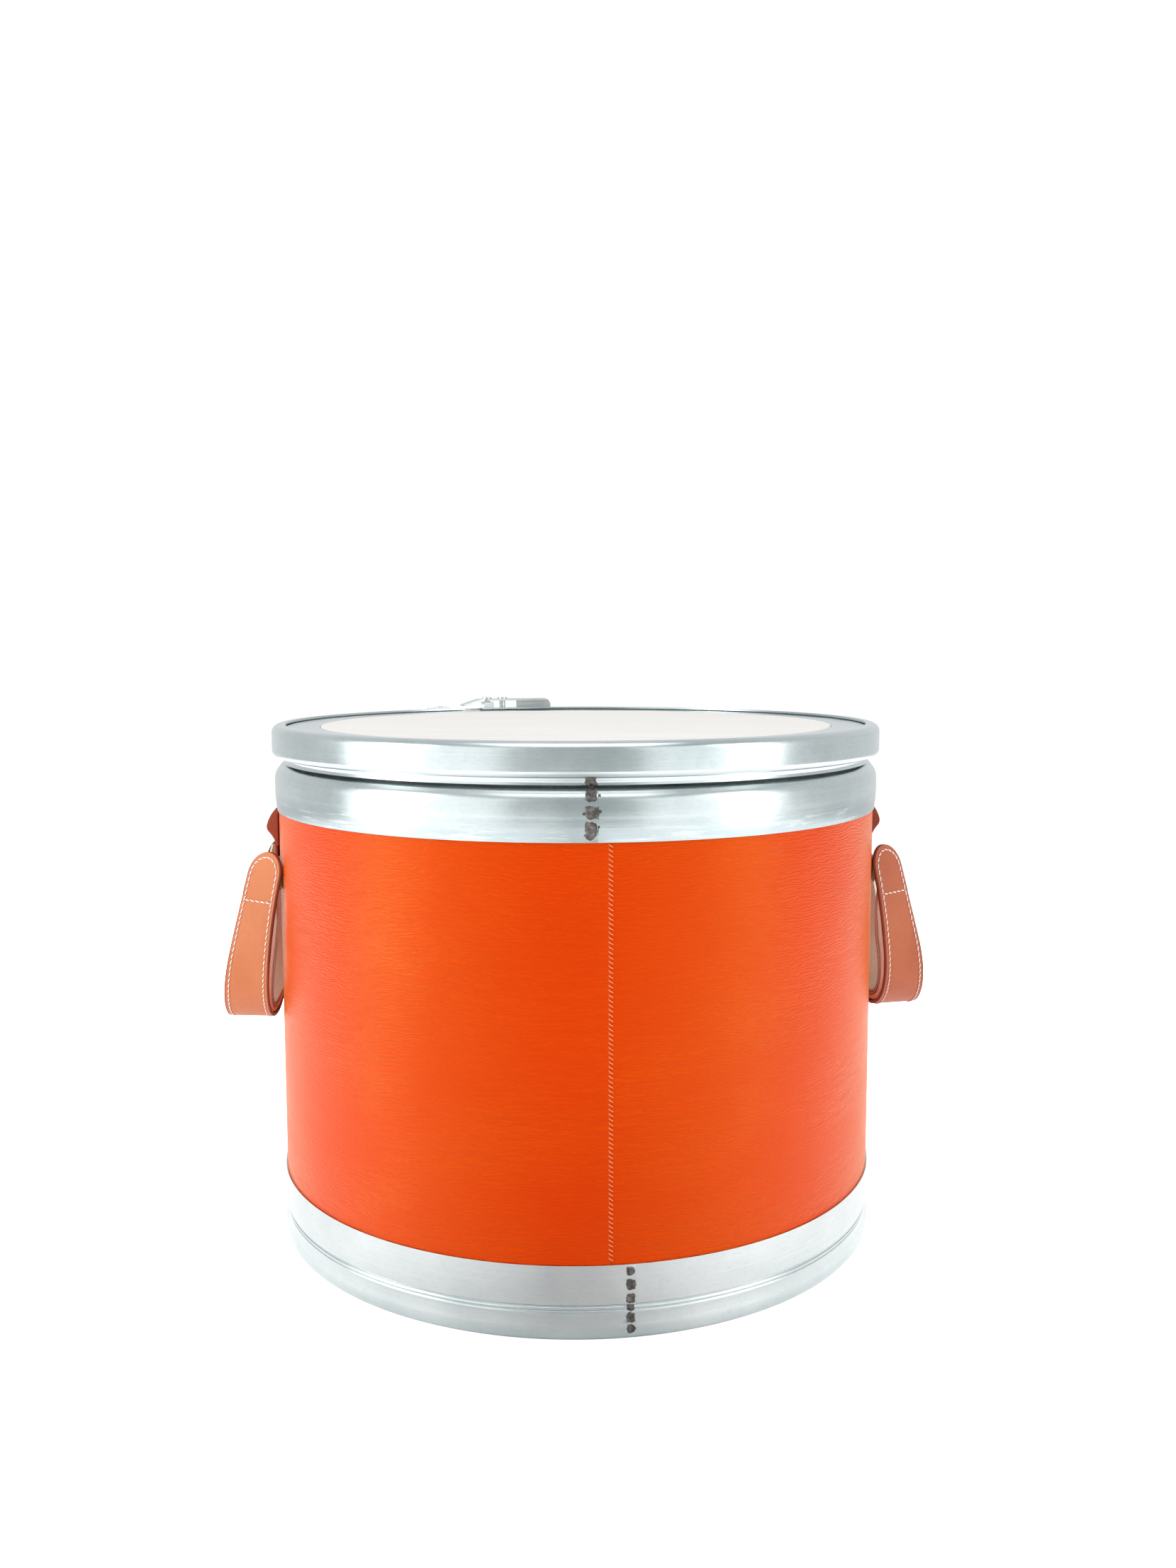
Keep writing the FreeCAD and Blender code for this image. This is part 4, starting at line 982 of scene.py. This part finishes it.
def make_webbing(side):
    """Two layers of cotton webbing behind the leather, with a pink-stitched edge between them."""
    body, slot = side + "_handle", "cotton_webbing"
    outer, inner = ([], [], []), ([], [], [])
    layer(side, 0.72, 0.0, outer)
    piece(side + "_webbing_outer", *outer[:2], "cream_webbing", body, slot, outer[2])
    # The inner layer's brown herringbone colour is partly painted shade.
    layer(side, 1.0, 0.74, inner)
    bridge_band(side, inner)
    replaced = [side + "_handle_webbing"]
    made = piece(side + "_webbing_inner", *inner[:2], "herringbone", body, slot, inner[2], replaced)
    sharpen(made, 60)
    points, faces = selvedge(side)
    piece(side + "_webbing_selvedge", points, faces, "selvedge_thread", body, slot)


def slab(name, side, corners, half, body):
    """A thick piece of dark leather, its darkness partly its own and partly painted shade, with an outline in
    the radial plane and a width along the drum.
    """
    flat = outline(corners)
    points = [side_turned(side) @ Vector((spot.x, along, spot.y)) for along in (-half, half) for spot in flat]
    return piece(name, points, tube_faces(2, len(flat)), "dark_leather", body, "dark_leather")


def make_cutter(side, points):
    """A temporary solid between two equal outlines, in the side's own directions."""
    mesh = bpy.data.meshes.new("cutter")
    turned = [side_turned(side) @ Vector(point) * MM for point in points]
    mesh.from_pydata(turned, [], tube_faces(2, len(points) // 2))
    face_out(mesh)
    return placed("cutter", mesh)


def box_cutter(side, low, high):
    """A temporary box between two corners."""
    sides = [(low[0], low[1]), (high[0], low[1]), (high[0], high[1]), (low[0], high[1])]
    return make_cutter(side, [(x, y, z) for z in (low[2], high[2]) for x, y in sides])


def rod_cutter(side, radius, count=32):
    """A temporary round bar along the hinge."""
    turns = [2 * math.pi * index / count for index in range(count)]
    round_bar = [(AXIS_OUT + radius * math.cos(turn), AXIS_UP + radius * math.sin(turn)) for turn in turns]
    return make_cutter(side, [(x, along, z) for along in (-ROD_HALF, ROD_HALF) for x, z in round_bar])


def cut(made, cutter):
    """Cuts a temporary solid out of a piece, and removes it."""
    change = made.modifiers.new("cut", "BOOLEAN")
    change.operation = "DIFFERENCE"
    change.solver = "EXACT"
    change.object = cutter
    apply_modifiers(made)
    bpy.data.objects.remove(cutter)


def soften(made, width):
    """Rounds the edges of a leather piece."""
    change = made.modifiers.new("soft_edges", "BEVEL")
    change.width = width * MM
    change.segments = 3
    change.limit_method = "ANGLE"
    change.angle_limit = math.radians(50)
    apply_modifiers(made)
    made.data.polygons.foreach_set("use_smooth", [True] * len(made.data.polygons))
    sharpen(made, 45)


def make_keeper(side):
    """Fixed tab: out under the top chime, round the hinge rod and back to the wall."""
    wrap = ROD_RADIUS + HINGE_LEATHER
    rim = HIGH_RIM - 0.8
    inside = WALL_INNER - 1.2
    back = BODY_RADIUS + 0.05
    corners = [
        (inside - HINGE_LEATHER, rim - 26.0), (inside, rim - 26.0), (inside, rim - 3.8),
        (back, rim - 3.8), (back, AXIS_UP - 12.3), (back + 1.2, AXIS_UP - 12.3, -24),
        (AXIS_OUT + wrap - 1.2, AXIS_UP - 2.6, 5.5),
        (AXIS_OUT + wrap - 0.7, AXIS_UP + 2.6, 24), (BODY_RADIUS + 0.9, rim),
        (inside - HINGE_LEATHER, rim),
    ]
    made = slab(side + "_keeper", side, corners, KEEPER_HALF, "drum")
    notch = HANGER_HALF + 0.4
    low = (back - 1.0, -notch, AXIS_UP - 20.0)
    high = (AXIS_OUT + 10.0, notch, AXIS_UP + wrap + 0.6)
    cut(made, box_cutter(side, low, high))
    cut(made, rod_cutter(side, ROD_RADIUS))
    soften(made, 0.4)
    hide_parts(side + "_keeper_tab")


def make_hanger(side):
    """Leather loop on the handle: a knuckle on the rod, and a tail over the webbing."""
    wrap = ROD_RADIUS + HINGE_LEATHER
    back = BODY_RADIUS + 2.3
    front = BODY_RADIUS + 4.0
    corners = [
        (back, AXIS_UP - 33.0), (front, AXIS_UP - 33.0), (front, AXIS_UP - 9.0, -14),
        (AXIS_OUT + wrap, AXIS_UP, wrap), (AXIS_OUT, AXIS_UP + wrap, wrap),
        (AXIS_OUT - wrap, AXIS_UP, 8), (back, AXIS_UP - 8.0),
    ]
    made = slab(side + "_hanger", side, corners, HANGER_HALF, side + "_handle")
    cut(made, rod_cutter(side, ROD_RADIUS + 0.06))
    soften(made, 0.35)
    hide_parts(side + "_handle_hanger")


# ---- carried-over CAD pieces

CARRIED = {
    "fibreboard": ["fibre_shell", "bottom_board"],
    "galvanised_steel": ["lid_pan"],
    "gasket_rubber": ["lid_gasket"],
    "pale_wood": ["lid_wood_disc"],
    "bright_steel": ["lid_disc_screws", "lever_bracket", "hook_bracket", "lever_pivot_rivets", "lever",
                     "link_pin", "lever_link", "hook_pin"],
}
for side in SIDE_TURN:
    CARRIED["bright_steel"] += [side + part for part in ("_keeper_plate", "_keeper_rivets", "_hinge_rod")]


def paint_carried():
    """Gives every CAD node that isn't replaced its finish."""
    for material, names in CARRIED.items():
        for name in names:
            mesh = nodes[name].data
            mesh.materials.clear()
            mesh.materials.append(MATERIALS[material])


# ---- floor, light and camera


def make_floor():
    """A round pale floor. It glows, more away from the drum and more to the camera than in
    reflections, so that it meets the white surroundings."""
    mesh = bpy.data.meshes.new("floor")
    reach, sides = 1.3, 96
    turns = [2 * math.pi * index / sides for index in range(sides)]
    rim = [(reach * math.cos(turn), reach * math.sin(turn), 0) for turn in turns]
    mesh.from_pydata(rim, [], [tuple(range(sides))])
    made = placed("floor", mesh)
    f = Finish("floor_paper", roughness=0.9, specular=0.1)
    f.colour(f.ramp(f.noise(3.0), [(0.3, (0.54, 0.54, 0.54)), (0.7, (0.57, 0.57, 0.57))]))
    f.shader.inputs["Emission Color"].default_value = (1.0, 1.0, 1.0, 1.0)
    away = f.add("VectorMath", {0: f.place()}, operation="LENGTH")["Value"]
    across = f.maths("ABSOLUTE", f.add("SeparateXYZ", {0: f.place()})[0])
    rim_glow = f.grey(away, 0.0, 0.6, 0.40, 0.95)
    side_glow = f.grey(across, 0.05, 0.85, 0.03, 0.20)
    seen = f.maths("MULTIPLY", f.add("LightPath")["Is Camera Ray"], 0.8)
    glow = f.maths("ADD", seen, f.maths("ADD", rim_glow, side_glow))
    f.tree.links.new(glow, f.shader.inputs["Emission Strength"])
    mesh.materials.append(f.material)


def make_softbox(name, azimuth, elevation, distance, wide, tall, radiance):
    """A large lamp aimed at the drum. Azimuth is from the front, towards +X."""
    lamp = bpy.data.lights.new(name, "AREA")
    lamp.shape = "RECTANGLE"
    lamp.size, lamp.size_y = wide, tall
    lamp.energy = radiance * math.pi * wide * tall
    made = placed(name, lamp)
    target = Vector((0, 0, 0.18))
    rise = math.radians(elevation)
    away = cylinder_place(azimuth, math.cos(rise), math.sin(rise))
    made.location = target + away * distance
    made.rotation_mode = "QUATERNION"
    made.rotation_quaternion = away.to_track_quat("Z", "Y")


def make_world():
    """White to the camera, and to the rest a room that is bright behind the drum and greyer before it."""
    world = bpy.data.worlds.new("studio")
    bpy.context.scene.world = world
    world.use_nodes = True
    tree = world.node_tree
    tree.nodes.clear()
    place = add_node(tree, "TexCoord")["Generated"]
    depth = add_node(tree, "SeparateXYZ", {0: place})[1]
    share = add_node(tree, "MapRange", {"Value": depth, "From Min": -1.0})[0]
    stops = [(0.0, (0.50, 0.53, 0.535)), (1.0, (0.86, 0.87, 0.88))]
    shade = add_ramp(tree, share, stops)
    room = add_node(tree, "Background", {"Color": shade})[0]
    bright = {"Color": (1.0, 1.0, 1.0, 1.0), "Strength": 1.05}
    white = add_node(tree, "Background", bright)[0]
    seen = add_node(tree, "LightPath")["Is Camera Ray"]
    shown = add_node(tree, "MixShader", {0: seen, 1: room, 2: white})[0]
    add_node(tree, "OutputWorld", {"Surface": shown})


def make_camera():
    """Camera a little above the lid, looking slightly down."""
    lens = bpy.data.cameras.new("camera")
    lens.sensor_width = 36.0
    lens.lens = 31.264
    lens.clip_start = 0.05
    made = placed("camera", lens)
    pitch, yaw, roll = 0.1038, 0.0087, -0.0016
    forward = Vector((math.sin(yaw) * math.cos(pitch), math.cos(yaw) * math.cos(pitch), -math.sin(pitch)))
    right = Vector((math.cos(yaw), -math.sin(yaw), 0))
    up = right.cross(forward)
    level = right * math.cos(roll) + up * math.sin(roll)
    top = up * math.cos(roll) - right * math.sin(roll)
    axes = Matrix((level, top, -forward)).transposed()
    made.rotation_mode = "QUATERNION"
    made.rotation_quaternion = axes.to_quaternion()
    made.location = (0.0, -0.93222, 0.39218)
    bpy.context.scene.camera = made


def make_studio():
    """Camera, surroundings, floor and lamps. A lamp's numbers are in the order of make_softbox."""
    make_camera()
    make_world()
    make_floor()
    make_softbox("softbox_left", -56.0, 10.0, 1.9, 2.4, 2.0, 0.80)
    make_softbox("softbox_right", 48.0, 10.0, 1.9, 1.8, 2.0, 0.75)
    make_softbox("strip_left", -68.0, 16.0, 1.7, 0.55, 1.6, 4.2)
    make_softbox("strip_right", 62.0, 16.0, 1.7, 0.45, 1.6, 3.0)
    make_softbox("softbox_top", 0.0, 70.0, 1.9, 1.5, 1.4, 1.4)
    bpy.context.scene.view_settings.view_transform = "Standard"


make_materials()
make_studio()
paint_carried()
make_leather_wall()
make_seam_stitches()
make_chimes()
make_ring_band()
for side in SIDE_TURN:
    make_keeper(side)
    make_hanger(side)
    make_webbing(side)
    make_strap(side)
    make_stitching(side)
